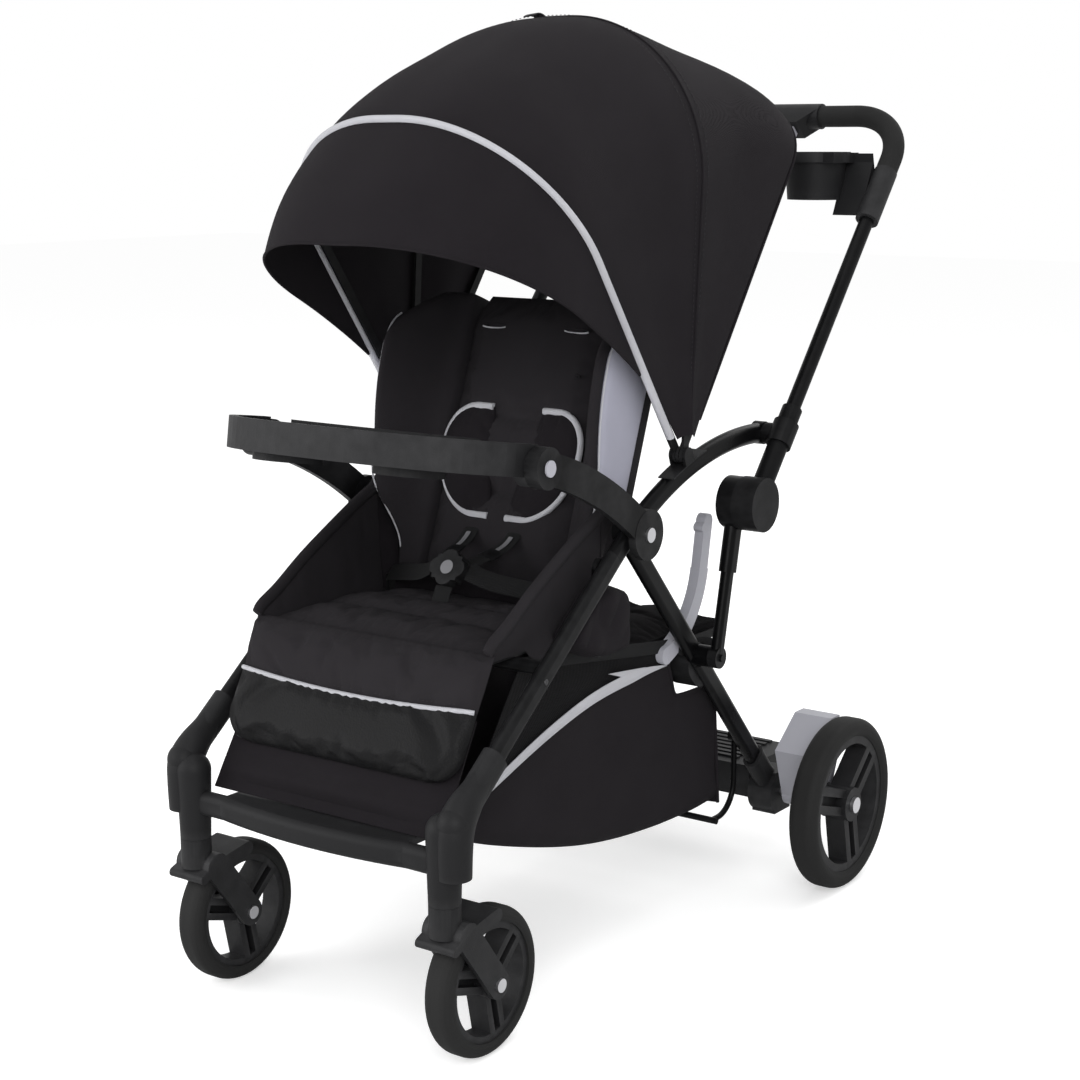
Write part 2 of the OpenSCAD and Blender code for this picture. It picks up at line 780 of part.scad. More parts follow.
// Stiff panel with hinge lugs
module backrest_board() {
    panel_w = 2 * back_core_half_w;
    lug_d = recline_lug_r * 2;
    color(c_plastic) back_place() difference() {
        union() {
            translate([-panel_w / 2, back_pad_t / 2, recline_lug_r])
                cube([panel_w, back_board_t, back_h - 2 * recline_lug_r]);
            translate([-recline_x, back_pad_t / 2, recline_lug_r])
                cube([2 * recline_x, back_board_t, lug_d]);
            pair() {
                rod_x([0, 0], recline_lug_r, recline_x - recline_lug_t, recline_x);
                translate([recline_x - recline_lug_t, 0, 0])
                    cube([recline_lug_t, back_pad_t / 2 + back_board_t, lug_d]);
            }
        }
        rod_x([0, 0], recline_pin_r + run_gap, -recline_x - overrun, recline_x + overrun);
    }
}

// Back cushion with a channelled middle panel and two thick wings that reach forward
module backrest_pad() {
    core_share = 0.5;
    peak_share = 0.74;
    channel_shares = [0.3, 0.62];
    foot_shares = [0.08, 0.22];
    shoulder_share = 0.2;
    foot = pad_gap;
    foot_half = recline_x - recline_lug_t - pad_gap;
    edge_t = 9;
    back_rows = 22;
    lift = back_h - foot;
    rear_y = back_pad_t / 2 - gap;
    function across(v) = abs(2 * v - 1);
    function wing(v) = max(0, (across(v) - core_share) / (1 - core_share));
    function eased(t) = let (c = min(1, max(0, t))) c * c * (3 - 2 * c);
    function foot_in(u) = eased((u - foot_shares[0]) / foot_shares[1]);
    function half_at(u) = mix(foot_half, back_half_w, foot_in(u))
        - (u > 0.5 ? (1 - crown(u, 6)) * back_half_w * shoulder_share : 0);
    function x_at(u, v) = sign(2 * v - 1) * (across(v) < core_share
        ? across(v) / core_share * back_core_half_w
        : back_core_half_w + (half_at(u) - back_core_half_w) * sin(90 * wing(v)));
    function reach(u) = wing_reach * (u < peak_share ? sin(90 * u / peak_share)
        : cos(90 * (u - peak_share) / (1 - peak_share)));
    function depth(u, v) = edge_t + (back_pad_t - edge_t) * crown(u, 8)
        + reach(u) * (1 - cos(90 * wing(v)))
        - back_channel * channel(across(v), core_share, channel_w_share) * crown(u, 8)
        - back_channel * crown(v, 20) * (across(v) < core_share ? 1 : 0)
            * channels(u, channel_shares);
    rail_share = (3 * recline_lug_r + gap - foot) / lift;
    row_share = 1 / back_rows;
    function rail_in(u) = eased((u - rail_share - row_share) / foot_shares[1]);
    function wing_back(v) = back_pad_t * (1 - cos(90 * wing(v)));
    front = function (u, v) [-x_at(u, v), rear_y - depth(u, v), foot + u * lift];
    back = function (u, v) [-x_at(u, v), rear_y + (wing(v) > 0 ? wing_back(v) * crown(u, 3) * rail_in(u) : 0),
        foot + u * lift];
    color(c_fabric) back_place() soft_sheet(back_rows, 24, back, front);
}

// Two D-shaped strap covers lying on the back cushion, closer together at the foot
module harness_pads() {
    front_y = back_pad_t / 2 - back_pad_t - 2 * gap;
    edge_t = 4;
    swell_power = 2.2;
    function inner_x(u) = mix(harness_low_x, harness_high_x, u);
    function reach(u) = harness_pad_end_w + harness_pad_swell * sqrt(crown(u, swell_power));
    function puff(u, v) = edge_t + (harness_pad_t - edge_t) * crown(u, 4) * crown(v, 4);
    function place(u, v, y) = [inner_x(u) + (1 - v) * reach(u), y, harness_pad_foot + u * harness_pad_h];
    outer = function (u, v) place(u, v, front_y - puff(u, v));
    inner = function (u, v) place(u, v, front_y);
    color(c_fabric) back_place() pair() soft_sheet(12, 8, inner, outer);
}

// Shoulder webbing above and below the strap covers
module shoulder_straps() {
    front_y = back_pad_t / 2 - back_pad_t - 2 * gap - strap_t;
    top = harness_pad_foot + harness_pad_h;
    color(c_fabric) back_place() pair() {
        translate([harness_low_x, front_y, harness_pad_foot - strap_tail - gap])
            cube([strap_w, strap_t, strap_tail]);
        translate([harness_high_x, front_y, top + gap]) cube([strap_w, strap_t, strap_tail]);
    }
}

// Child tray

// Half of the tray's plan edge: full width at the pivot, rounded towards the front
function tray_edge(t, w, d) = [w * pow(abs(cos(t)), tray_corner_power) * sign(cos(t)),
    -d * pow(sin(t), tray_corner_power)];

module tray_plan(inset) {
    steps = 36;
    w = leg_x - inset - gap;
    d = tray_depth - inset;
    belly_w = w - tray_lug_t - 2 * inset;
    belly_d = tray_depth * tray_belly_share + inset;
    difference() {
        polygon([for (i = [0:steps]) tray_edge(180 * i / steps, w, d)]);
        polygon([for (i = [0:steps]) tray_edge(180 * i / steps, belly_w, belly_d)]);
        translate([-w, -overrun / 2]) square([2 * w, 2 * overrun]);
    }
}

// Tray shell with a dished top, two cup wells and the pivot lugs
module child_tray() {
    top = tray_top;
    dish = 8;
    rim = 10;
    cup_x = leg_x * tray_cup_share[0];
    cup_y = -tray_depth * tray_cup_share[1];
    cup_wall = 3;
    cup_below = 10;
    lug_in = leg_x - tray_lug_t;
    color(c_plastic) translate([0, tray_pivot[0], tray_pivot[1]]) rotate([-tray_lean, 0, 0]) difference() {
        union() {
            translate([0, 0, top - tray_wall_h]) linear_extrude(tray_wall_h) tray_plan(0);
            pair() {
                translate([cup_x, cup_y, top - tray_wall_h - cup_below])
                    cylinder(r = tray_cup_r + cup_wall, h = tray_wall_h);
                rod_x([0, 0], tray_disc_r - overrun, lug_in, leg_x);
            }
        }
        translate([0, 0, top - dish]) linear_extrude(dish + overrun) tray_plan(rim);
        translate([0, 0, top - tray_wall_h - overrun]) linear_extrude(tray_wall_h - dish - cup_wall)
            difference() {
                tray_plan(cup_wall);
                pair() translate([cup_x, cup_y]) circle(r = tray_cup_r + cup_wall);
                square([2 * leg_x, 2 * tray_disc_r], center = true);
            }
        pair() {
            translate([cup_x, cup_y, top - tray_wall_h - cup_below + cup_wall])
                cylinder(r = tray_cup_r, h = tray_wall_h + cup_below);
            rod_x([0, 0], tray_pin_r + run_gap, lug_in - overrun, leg_x + overrun);
        }
    }
}

// Round release button seated in the tray arm's outer face
module tray_button(side) {
    seat = cover_out_x - button_t / 2;
    color(c_grey) on_side(side) rod_x(tray_pivot, button_r, seat, cover_out_x + button_proud);
}

module tray_button_left() { tray_button(1); }
module tray_button_right() { tray_button(-1); }

// Handle

// Draws in the handle's plane: X across, Y along the tubes from the pivot, Z out of the plane
module handle_plane() {
    translate([0, handle_pivot[0], handle_pivot[1]]) rotate([handle_a, 0, 0]) children();
}

// U path of one round section: straight legs from y0, two corners and the bar
module handle_path(r, y0) {
    corner_y = handle_l - handle_corner_r;
    bar_half = handle_x - handle_corner_r;
    pair() {
        translate([handle_x, y0, 0]) rotate([-90, 0, 0]) cylinder(r = r, h = corner_y - y0);
        translate([bar_half, corner_y, 0]) rotate_extrude(angle = 90)
            translate([handle_corner_r, 0]) circle(r = r);
    }
    translate([-bar_half, handle_l, 0]) rotate([0, 90, 0]) cylinder(r = r, h = 2 * bar_half);
}

module handle_tube() {
    color(c_tube) handle_plane() handle_path(handle_r, gap + knuckle_r / 2 - knuckle_drop);
}

// Foam over the bar and corners, open in the middle for the fold housing
module handle_grip() {
    color(c_foam) handle_plane() difference() {
        handle_path(grip_r, grip_start);
        handle_path(handle_r + run_gap, 0);
        translate([-housing_half_l - gap, handle_l - handle_corner_r / 2, -2 * grip_r])
            cube([2 * (housing_half_l + gap), handle_corner_r, 4 * grip_r]);
    }
}

// Two-deep housing clamped on the bar, slotted below for the fold trigger
module fold_housing() {
    chin = housing_depth - grip_r;
    taper = housing_half_l / 4;
    color(c_plastic) handle_plane() difference() {
        union() {
            translate([-housing_half_l, handle_l, 0]) rotate([0, 90, 0])
                cylinder(r = housing_w / 2, h = 2 * housing_half_l);
            translate([0, handle_l, -housing_w / 2]) linear_extrude(housing_w)
                polygon([[-housing_half_l, 0], [taper - housing_half_l, -chin],
                    [housing_half_l - taper, -chin], [housing_half_l, 0]]);
        }
        translate([-housing_half_l - overrun, handle_l, 0]) rotate([0, 90, 0])
            cylinder(r = handle_r + run_gap, h = 2 * (housing_half_l + overrun));
        translate([-trigger_half_l - gap, handle_l - chin - overrun, -trigger_w / 2 - gap])
            cube([2 * (trigger_half_l + gap), chin - handle_r + overrun - gap, trigger_w + 2 * gap]);
    }
}

// Squeeze bar that slides up into the housing
module fold_trigger() {
    chin = housing_depth - grip_r;
    color(c_grey) handle_plane()
        translate([-trigger_half_l, handle_l - chin - trigger_t / 2, -trigger_w / 2])
            cube([2 * trigger_half_l, trigger_t + trigger_t / 4 - gap, trigger_w]);
}

// Lower sleeves: collar with the handle's hinge pin, and the outer knuckle half
module handle_sleeves() {
    knuckle_x = knuckle_in_x + knuckle_half_t + gap;
    color(c_plastic) pair() difference() {
        union() {
            handle_plane() {
                translate([handle_x, -knuckle_drop, 0]) rotate([-90, 0, 0])
                    cylinder(r = sleeve_r, h = knuckle_drop + sleeve_over);
                translate([handle_x, -collar_l / 2, 0]) rotate([-90, 0, 0])
                    cylinder(r = collar_r, h = collar_l);
                translate([leg_x + tube_t / 2 + gap, 0, 0]) rotate([0, 90, 0])
                    cylinder(r = lug_r, h = handle_x - leg_x - tube_t / 2 - handle_r - overrun);
                translate([leg_x - tube_t / 2, 0, 0]) rotate([0, 90, 0])
                    cylinder(r = pin_r, h = handle_x - leg_x - handle_r);
            }
            rod_x(knuckle, knuckle_r, knuckle_x, knuckle_x + knuckle_out_t);
        }
        handle_plane() translate([handle_x, knuckle_r / 2 - knuckle_drop, 0]) rotate([-90, 0, 0])
            cylinder(r = handle_r + run_gap, h = knuckle_drop + sleeve_over);
    }
}

// Caddy between the handle tubes: deck, two cup holders, arms and clamps on the tubes
module parent_tray() {
    place = handle_pivot + parent_along * handle_dir;
    rim_r = parent_cup_r + parent_cup_flare + parent_rim_w;
    deck_half = parent_cup_x + rim_r - overrun;
    recess_half = parent_cup_x - rim_r - parent_wall;
    arm_start = parent_deck_d / 3;
    color(c_plastic) difference() {
        union() {
            translate([0, place[0] - parent_cup_fwd, place[1]]) {
                translate([-deck_half, -parent_deck_d / 2, 0])
                    cube([2 * deck_half, parent_deck_d, parent_deck_t]);
                pair() translate([parent_cup_x, 0, parent_deck_t - parent_cup_h]) {
                    cylinder(r1 = parent_cup_r + parent_wall, h = parent_cup_h - overrun,
                        r2 = parent_cup_r + parent_cup_flare + parent_wall);
                    translate([0, 0, parent_cup_h - parent_deck_t + overrun])
                        cylinder(r = rim_r, h = parent_deck_t);
                }
            }
            handle_plane() pair() translate([handle_x, parent_clamp_end - parent_clamp_l, 0])
                rotate([-90, 0, 0]) cylinder(r = handle_r + 2 * parent_wall, h = parent_clamp_l);
            pair() plate_x(deck_half - parent_deck_t, handle_x - handle_r - parent_wall) polygon([
                place + [-arm_start, parent_deck_t - overrun],
                place + [-arm_start, overrun],
                for (share = clamp_shares)
                    handle_pivot + (parent_clamp_end - share * parent_clamp_l) * handle_dir]);
        }
        handle_plane() handle_path(handle_r + run_gap, 0);
        translate([0, place[0] - parent_cup_fwd, place[1]]) {
            pair() translate([parent_cup_x, 0, parent_deck_t + parent_wall - parent_cup_h])
                cylinder(r = parent_cup_r, h = parent_cup_h);
            translate([-recess_half, parent_wall - parent_deck_d / 2, parent_wall])
                cube([2 * recess_half, parent_deck_d - 2 * parent_wall, parent_deck_t]);
        }
    }
}

// Struts with the inner knuckle halves, bored for the rear legs' studs
module struts() {
    sleeve_share = 0.45;
    color(c_tube) pair() difference() {
        union() {
            rod_x(knuckle, knuckle_r - overrun, knuckle_in_x, knuckle_in_x + knuckle_half_t);
            oval_bar(strut_foot, knuckle, strut_x, strut_w, strut_t);
            oval_bar(strut_foot + strut_l * (1 - sleeve_share) * [cos(strut_a), sin(strut_a)],
                knuckle - knuckle_r / 2 * [cos(strut_a), sin(strut_a)],
                strut_x, strut_w + 2 * boot_wall, strut_t + boot_wall);
            rod_x(strut_foot, lug_r, strut_x - strut_t / 2 + gap, strut_x + strut_t / 2 - gap);
        }
        rod_x(strut_foot, pin_r + run_gap, strut_x - strut_t, strut_x + strut_t);
    }
}

// Rear frame

// Lean of the rear legs towards the centre, from hub to axle
rear_lean = atan2(rear_leg_top_x - rear_leg_foot_x, rear_leg_l);

// Draws along the rear leg from the hub: X across, Z down the leg
module rear_leg_line() {
    translate([rear_leg_top_x, hub[0], hub[1]]) rotate([rear_leg_a - 90, 0, 0])
        rotate([0, -rear_lean, 0]) children();
}

// Rear legs with hub eyes and the studs that carry the struts
module rear_legs() {
    stud_x = rear_leg_top_x - (rear_leg_top_x - rear_leg_foot_x) * strut_foot_along / rear_leg_l;
    color(c_tube) pair() difference() {
        union() {
            rear_leg_line() linear_extrude(rear_leg_l - boot_h / 2) rotate(90) oval(rear_tube_w, rear_tube_t);
            rod_x(hub, rear_tube_w / 2 + overrun, rear_leg_top_x - rear_tube_t / 2,
                rear_leg_top_x + rear_tube_t / 2);
            rod_x(strut_foot, pin_r, stud_x, strut_x + strut_t / 2 + pin_head_t);
            rod_x(strut_foot, lug_r, stud_x, strut_x - strut_t / 2 - gap);
        }
        rod_x(hub, pin_r + run_gap, 0, leg_x);
    }
}

// Moulded boots that join the legs to the axle
module axle_boots() {
    inner = rear_leg_foot_x - boot_w / 2;
    color(c_plastic) pair() difference() {
        union() {
            plate_x(inner, inner + boot_w) translate(axle) union() {
                square([boot_d - boot_h / 2, boot_h], center = true);
                for (s = [-1, 1]) translate([s * (boot_d - boot_h) / 2, 0]) circle(d = boot_h);
            }
            rear_leg_line() translate([0, 0, rear_leg_l - boot_h / 2 - boot_sleeve_l])
                linear_extrude(boot_sleeve_l) rotate(90)
                    oval(rear_tube_w + 2 * boot_wall, rear_tube_t + 2 * boot_wall);
        }
        rear_leg_line() linear_extrude(rear_leg_l - boot_h / 2 + run_gap) rotate(90)
            oval(rear_tube_w + 2 * run_gap, rear_tube_t + 2 * run_gap);
        rod_x(axle, rear_axle_r + run_gap, 0, rear_x);
    }
}

module rear_axle() {
    end = rear_x + rear_wheel_w / 2;
    color(c_steel) {
        rod_x(axle, rear_axle_r, -end, end);
        pair() rod_x(axle, axle_cap_r, end + gap, end + gap + axle_cap_t);
        pair() rod_x(axle, rear_axle_r, end - overrun, end + gap + overrun);
    }
}

// Standing platform: ribbed deck with a skirt, hollow below, bored for the axle
module platform() {
    half = platform_w / 2;
    low = platform_h - platform_t;
    nose_r = platform_t / 3;
    rib_step = (platform_d - 2 * nose_r) / platform_ribs;
    color(c_plastic) difference() {
        union() {
            plate_x(-half, half) union() {
                translate([platform_front_y, low]) square([platform_d - nose_r, platform_t]);
                translate([platform_front_y, low]) square([platform_d, platform_t - nose_r]);
                translate([platform_front_y + platform_d - nose_r, platform_h - nose_r]) circle(r = nose_r);
            }
            for (i = [0:platform_ribs - 1])
                translate([-half + 2 * nose_r, platform_front_y + nose_r + (i + rib_start_share) * rib_step,
                    platform_h - overrun])
                    cube([platform_w - 4 * nose_r, rib_step / 2, overrun + platform_rib_t]);
        }
        translate([-half + platform_wall, platform_front_y + platform_wall + 2 * axle_cap_r
            + 2 * rear_axle_r, low - overrun])
            cube([platform_w - 2 * platform_wall, platform_d - 2 * platform_wall - 2 * axle_cap_r
                - 2 * rear_axle_r, platform_t - platform_wall + overrun]);
        rod_x(axle, rear_axle_r + run_gap, -rear_x, rear_x);
    }
}

// Bench pan with a lug each side that seats on the rear leg
module bench_board() {
    half = bench_w / 2;
    low = bench_h - bench_board_t;
    leg_d = (hub[1] - low + rear_tube_w / 2) / -rear_leg_dir[1];
    leg_p = hub + leg_d * rear_leg_dir;
    lug_x = rear_leg_top_x - (rear_leg_top_x - rear_leg_foot_x) * leg_d / rear_leg_l;
    color(c_plastic) {
        translate([-half, bench_front_y, low]) cube([bench_w, bench_d, bench_board_t]);
        difference() {
            pair() plate_x(half - bench_lug_t, lug_x)
                link_2d(leg_p, leg_p + bench_board_t * rear_leg_dir, rear_tube_w + 2 * bench_board_t);
            pair() rear_leg_line() linear_extrude(rear_leg_l) rotate(90)
                oval(rear_tube_w + 2 * run_gap, rear_tube_t + 2 * run_gap);
        }
    }
}

// Bench cushion, crowned, with sides that draw in
module bench_cushion() {
    half = bench_w / 2 - gap;
    base = bench_h + gap;
    edge_share = 0.35;
    draw_in = 6;
    channel_shares = [0.34, 0.66];
    function place(u, v) = [(2 * v - 1) * (half - draw_in * crown(u, 2)),
        bench_front_y + u * bench_d + draw_in * (1 - 2 * u) * crown(v, 2)];
    function puff(u, v) = bench_pad_t * (edge_share + (1 - edge_share) * crown(u, 4) * crown(v, 6))
        - back_channel * crown(u, 6) * channels(v, channel_shares);
    top = function (u, v) concat(place(u, v), base + puff(u, v));
    under = function (u, v) concat(place(u, v), base);
    color(c_fabric) soft_sheet(14, 16, top, under);
}

// Curved grab arms beside the bench, hooked at the top
module grab_arms() {
    start = [grab_foot_y, bench_h - bench_board_t / 2];
    start_a = 18;
    centre = start + grab_bend_r * [-sin(start_a), cos(start_a)];
    end_a = start_a + grab_turn;
    end = centre + grab_bend_r * [sin(end_a), -cos(end_a)];
    tip = end + grab_rise * [cos(end_a), sin(end_a)];
    hook = tip + grab_w / 2 * [-1, 0] - grab_w / 3 * [0, 1];
    inner = grab_x - grab_t / 2;
    color(c_grey) pair() {
        side_view(grab_x, centre, start_a - 90) rotate_extrude(angle = grab_turn)
            translate([grab_bend_r, 0]) square([grab_w, grab_t], center = true);
        plate_x(inner + gap, inner + grab_t - gap) union() {
            link_2d(end, tip, grab_w - 2 * overrun);
            link_2d(tip, hook, grab_w / 2);
            translate(start) circle(d = grab_w + 2 * overrun);
        }
        rod_x(start, grab_w / 3, bench_w / 2 + run_gap, inner + overrun);
    }
}

// Wire loop from the rear legs, down and forward under the basket's back edge
module basket_wire() {
    leg_p = hub + wire_leg_along * rear_leg_dir;
    wire_x = rear_leg_top_x - (rear_leg_top_x - rear_leg_foot_x) * wire_leg_along / rear_leg_l;
    drop_end = [leg_p[0], wire_low_h + wire_bend_r];
    centre = drop_end - [wire_bend_r, 0];
    run_end = centre - [wire_run, wire_bend_r];
    lean = (rear_leg_top_x - rear_leg_foot_x) / rear_leg_l;
    inner = wire_x - rear_tube_t / 2 - wire_r - gap - 2 * wire_r * lean;
    color(c_tube) {
        pair() {
            side_view(inner, drop_end) rotate([-90, 0, 0]) cylinder(r = wire_r, h = leg_p[1] - drop_end[1]);
            side_view(inner, centre, -90) rotate_extrude(angle = 90)
                translate([wire_bend_r, 0]) circle(r = wire_r);
            side_view(inner, run_end) rotate([0, 90, 0]) cylinder(r = wire_r, h = wire_run);
            rod_x(leg_p, 2 * wire_r, inner - 1.5 * wire_r, inner + wire_r);
        }
        rod_x(run_end, wire_r + gap, -inner - 2 * wire_r, inner + 2 * wire_r);
    }
}

// Foot brake: a hollow pedal that turns on the axle between boot and wheel
module brake_pedal(side) {
    outer = rear_x - rear_wheel_w / 2 - pedal_out_gap;
    back_share = [0.36, 0.14];
    cheek_share = 0.62;
    heel_share = 0.5;
    crest = axle + [pedal_h * back_share[0], pedal_h];
    brow = axle + [pedal_h * back_share[1], pedal_h];
    cheek = axle + [-pedal_h * back_share[0], pedal_h * cheek_share];
    heel = axle + [pedal_h * back_share[0], pedal_h * heel_share];
    color(c_grey) on_side(side) difference() {
        union() {
            plate_x(pedal_in_x, outer) polygon([axle - [pedal_hub_r, 0], cheek, brow, crest, heel,
                axle + [pedal_hub_r, 0]]);
            rod_x(axle, pedal_hub_r, pedal_in_x, outer);
        }
        plate_x(pedal_in_x + pedal_wall, outer - pedal_wall) polygon([
            axle + [pedal_hub_r, pedal_hub_r], cheek + [2 * pedal_wall, pedal_wall],
            brow + [pedal_wall, -pedal_wall], crest + [overrun + pedal_wall, -pedal_wall],
            heel + [pedal_hub_r, 0]]);
        rod_x(axle, rear_axle_r + run_gap, pedal_in_x - overrun, outer + overrun);
    }
}

module brake_pedal_left() { brake_pedal(1); }
module brake_pedal_right() { brake_pedal(-1); }

// Casters and wheels

// Hooded fork on a swivel stem, cut round for the tyre
module caster_fork(side) {
    wheel = [front_axle_y, front_wheel_r];
    half_in = front_wheel_w / 2 + fork_gap;
    half_out = half_in + fork_t;
    shoulder = [stem_y + stem_r / 2, stem_seam_h - 2 * stem_r];
    clear_r = front_wheel_r + hood_clear;
    color(c_plastic) on_side(side) translate([front_x, 0, 0]) difference() {
        union() {
            for (s = [0, 1]) mirror([s, 0, 0]) plate_x(half_in, half_out)
                link_2d(wheel, shoulder, fork_arm_w);
            plate_x(-half_out, half_out) union() {
                translate(shoulder) circle(d = fork_arm_w);
                link_2d(shoulder, shoulder + [hood_w, stem_r / 2], fork_arm_w / 2);
                link_2d(shoulder, shoulder - [stem_r + hood_lip, stem_r / 2], fork_arm_w / 3);
            }
            translate([0, stem_y, shoulder[1]]) cylinder(r = stem_r, h = stem_seam_h - gap - shoulder[1]);
            translate([0, stem_y, shoulder[1]])
                cylinder(r = stem_pin_r, h = stem_seam_h + stem_pin_l - shoulder[1]);
        }
        rod_x(wheel, clear_r, -half_in, half_in);
        rod_x(wheel, front_axle_r + run_gap, -half_out - overrun, half_out + overrun);
    }
}

module caster_fork_left() { caster_fork(1); }
module caster_fork_right() { caster_fork(-1); }

// Headed bolt through fork and wheel
module front_axle(side) {
    half = front_wheel_w / 2 + fork_gap + fork_t;
    wheel = [front_axle_y, front_wheel_r];
    color(c_steel) on_side(side) translate([front_x, 0, 0]) {
        rod_x(wheel, front_axle_r, -half, half);
        rod_x(wheel, bolt_head_r, half, half + bolt_head_t);
        rod_x(wheel, bolt_head_r, -half - bolt_head_t, -half);
    }
}

module front_axle_left() { front_axle(1); }
module front_axle_right() { front_axle(-1); }

// Round tyre with a soft shoulder, lying in the plane of the side view
module tyre(r, w) {
    t = r * tyre_share;
    edge = w / 3;
    rotate_extrude($fn = 96) difference() {
        union() {
            translate([r - t, -w / 2 + edge / 3]) square([t - edge, w - 2 * edge / 3]);
            translate([r - t, -w / 2 + edge]) square([t, w - 2 * edge]);
            for (s = [-1, 1]) translate([r - edge, s * (w / 2 - edge)]) circle(r = edge);
        }
        translate([0, -w]) square([r - t, 2 * w]);
    }
}

// Rim with a hub and spokes that are each a pair of ribs over a thin web
module rim(r, w, bore) {
    bed = r * (1 - tyre_share) - run_gap;
    lip = r * rim_lip_share;
    hub_rr = r * hub_share;
    rib = r * spoke_w_share;
    half_gap = r * spoke_half_gap_share;
    web_t = w / 5;
    difference() {
        union() {
            rotate_extrude($fn = 96) translate([bed - lip, -w / 2 + rib / 2]) square([lip, w - rib]);
            translate([0, 0, -w / 2]) cylinder(r = hub_rr, h = w);
            for (i = [0:spoke_count - 1]) rotate(spoke_phase + i * 360 / spoke_count) {
                for (s = [-1, 1]) translate([0, s * (half_gap + rib / 2) - rib / 2, -w / 2 + rib / 2])
                    cube([bed - lip / 2, rib, w - rib]);
                translate([0, -half_gap - rib / 2, -web_t / 2])
                    cube([bed - lip / 2, 2 * half_gap + rib, web_t]);
            }
        }
        translate([0, 0, -w]) cylinder(r = bore + run_gap, h = 2 * w);
    }
}

module front_rim(side) {
    color(c_plastic) on_side(side) side_view(front_x, [front_axle_y, front_wheel_r])
        rim(front_wheel_r, front_wheel_w, front_axle_r);
}

module front_tyre(side) {
    color(c_rubber) on_side(side) side_view(front_x, [front_axle_y, front_wheel_r])
        tyre(front_wheel_r, front_wheel_w);
}

module rear_rim(side) {
    color(c_plastic) on_side(side) side_view(rear_x, axle) rim(rear_wheel_r, rear_wheel_w, rear_axle_r);
}

module rear_tyre(side) {
    color(c_rubber) on_side(side) side_view(rear_x, axle) tyre(rear_wheel_r, rear_wheel_w);
}

module front_rim_left() { front_rim(1); }
module front_rim_right() { front_rim(-1); }
module front_tyre_left() { front_tyre(1); }
module front_tyre_right() { front_tyre(-1); }
module rear_rim_left() { rear_rim(1); }
module rear_rim_right() { rear_rim(-1); }
module rear_tyre_left() { rear_tyre(1); }
module rear_tyre_right() { rear_tyre(-1); }

// Canopy

// Filled outline of a hoop: half width w, height l, corner radius c, open foot at 0
module hoop_2d(w, l, c) {
    translate([-w, 0]) square([2 * w, l - c]);
    translate([-(w - c), 0]) square([2 * (w - c), l]);
    for (s = [-1, 1]) translate([s * (w - c), l - c]) circle(r = c, $fn = 128);
}

// Flat-strip bow at an angle about the canopy pivot, with an eye on each end
module bow(w, l, c, angle) {
    translate([0, canopy_pivot[0], canopy_pivot[1]]) rotate([angle, 0, 0]) difference() {
        union() {
            translate([0, 0, -bow_strip / 2]) linear_extrude(bow_strip) difference() {
                hoop_2d(w, l, c);
                translate([0, -overrun]) hoop_2d(w - bow_t, l - bow_t + overrun, c - bow_t);
            }
            pair() rod_x([0, 0], bow_eye_r, w - bow_t, w);
        }
        rod_x([0, 0], bow_pin_r + run_gap, -2 * w, 2 * w);
    }
}

module bow_front() {
    color(c_plastic) bow(bow_front_w, bow_front_l, bow_front_w * bow_front_corner_share, bow_front_a);
}

module bow_mid() {
    color(c_plastic) bow(bow_mid_w, bow_mid_l, bow_mid_w * bow_mid_corner_share, bow_mid_a);
}

module bow_rear() {
    color(c_plastic) bow(bow_rear_w, bow_rear_l, bow_rear_w * bow_rear_corner_share, bow_rear_a);
}

// Place along a hoop's outline, v from the left foot (0) to the right foot (1), as [x, radius]
function hoop_at(v, w, l, c, foot) =
    let (side = l - c - foot)
    let (arc = c * PI / 2)
    let (top = 2 * (w - c))
    let (d = min(v, 1 - v) * (2 * side + 2 * arc + top))
    let (flip = v > 0.5 ? -1 : 1)
    d < side ? [flip * w, foot + d]
    : d < side + arc ? let (a = (d - side) / c * 180 / PI)
        [flip * (w - c + c * cos(a)), l - c + c * sin(a)]
    : [flip * (w - c - (d - side - arc)), l];

function mix(a, b, t) = a + (b - a) * t;

// Place on the canopy at an angle about its pivot
function canopy_at(hoop_p, angle) = [hoop_p[0], canopy_pivot[0] + hoop_p[1] * cos(angle),
    canopy_pivot[1] + hoop_p[1] * sin(angle)];

// Cloth stretched from one hoop to the next, drawn in between them
module canopy_cloth(from, to, from_a, to_a, nu, nv, hold_share = 0) {
    lift = cloth_gap + cloth_t;
    function ease(t) = t * t * (3 - 2 * t);
    function row(u) = hold_share == 0 ? u
        : u * nu <= 1 ? u * nu * hold_share : mix(hold_share, 1, (u * nu - 1) / (nu - 1));
    function run(u) = max(0, (row(u) - hold_share) / (1 - hold_share));
    function skin(u, v, out) =
        let (t = run(u))
        let (flare = foot_flare * pow(abs(2 * v - 1), foot_flare_power))
        let (sag = canopy_sag * pow(sin(180 * t), 2) * crown(v, 4) - flare - out)
        canopy_at(hoop_at(v, mix(from[0], to[0], t) - sag, mix(from[1], to[1], t) - sag,
            mix(from[2], to[2], ease(t)) - sag, canopy_foot), mix(from_a, to_a, row(u)));
    outer = function (u, v) skin(u, v, lift);
    inner = function (u, v) skin(u, v, cloth_gap);
    soft_sheet(nu, nv, outer, inner);
}

hoop_front = [bow_front_w, bow_front_l, bow_front_w * bow_front_corner_share];
hoop_mid = [bow_mid_w, bow_mid_l, bow_mid_w * bow_mid_corner_share];
hoop_rear = [bow_rear_w, bow_rear_l, bow_rear_w * bow_rear_corner_share];
// Half the angle that a bow strip covers, and the seam left between two cloths
strip_a = bow_strip / 2 / bow_mid_l * 180 / PI;
seam_a = gap / bow_mid_l * 180 / PI;

module canopy_front_panel() {
    color(c_fabric) canopy_cloth(hoop_mid, hoop_front, bow_mid_a + seam_a, bow_front_a - seam_a, 8, 48);
}

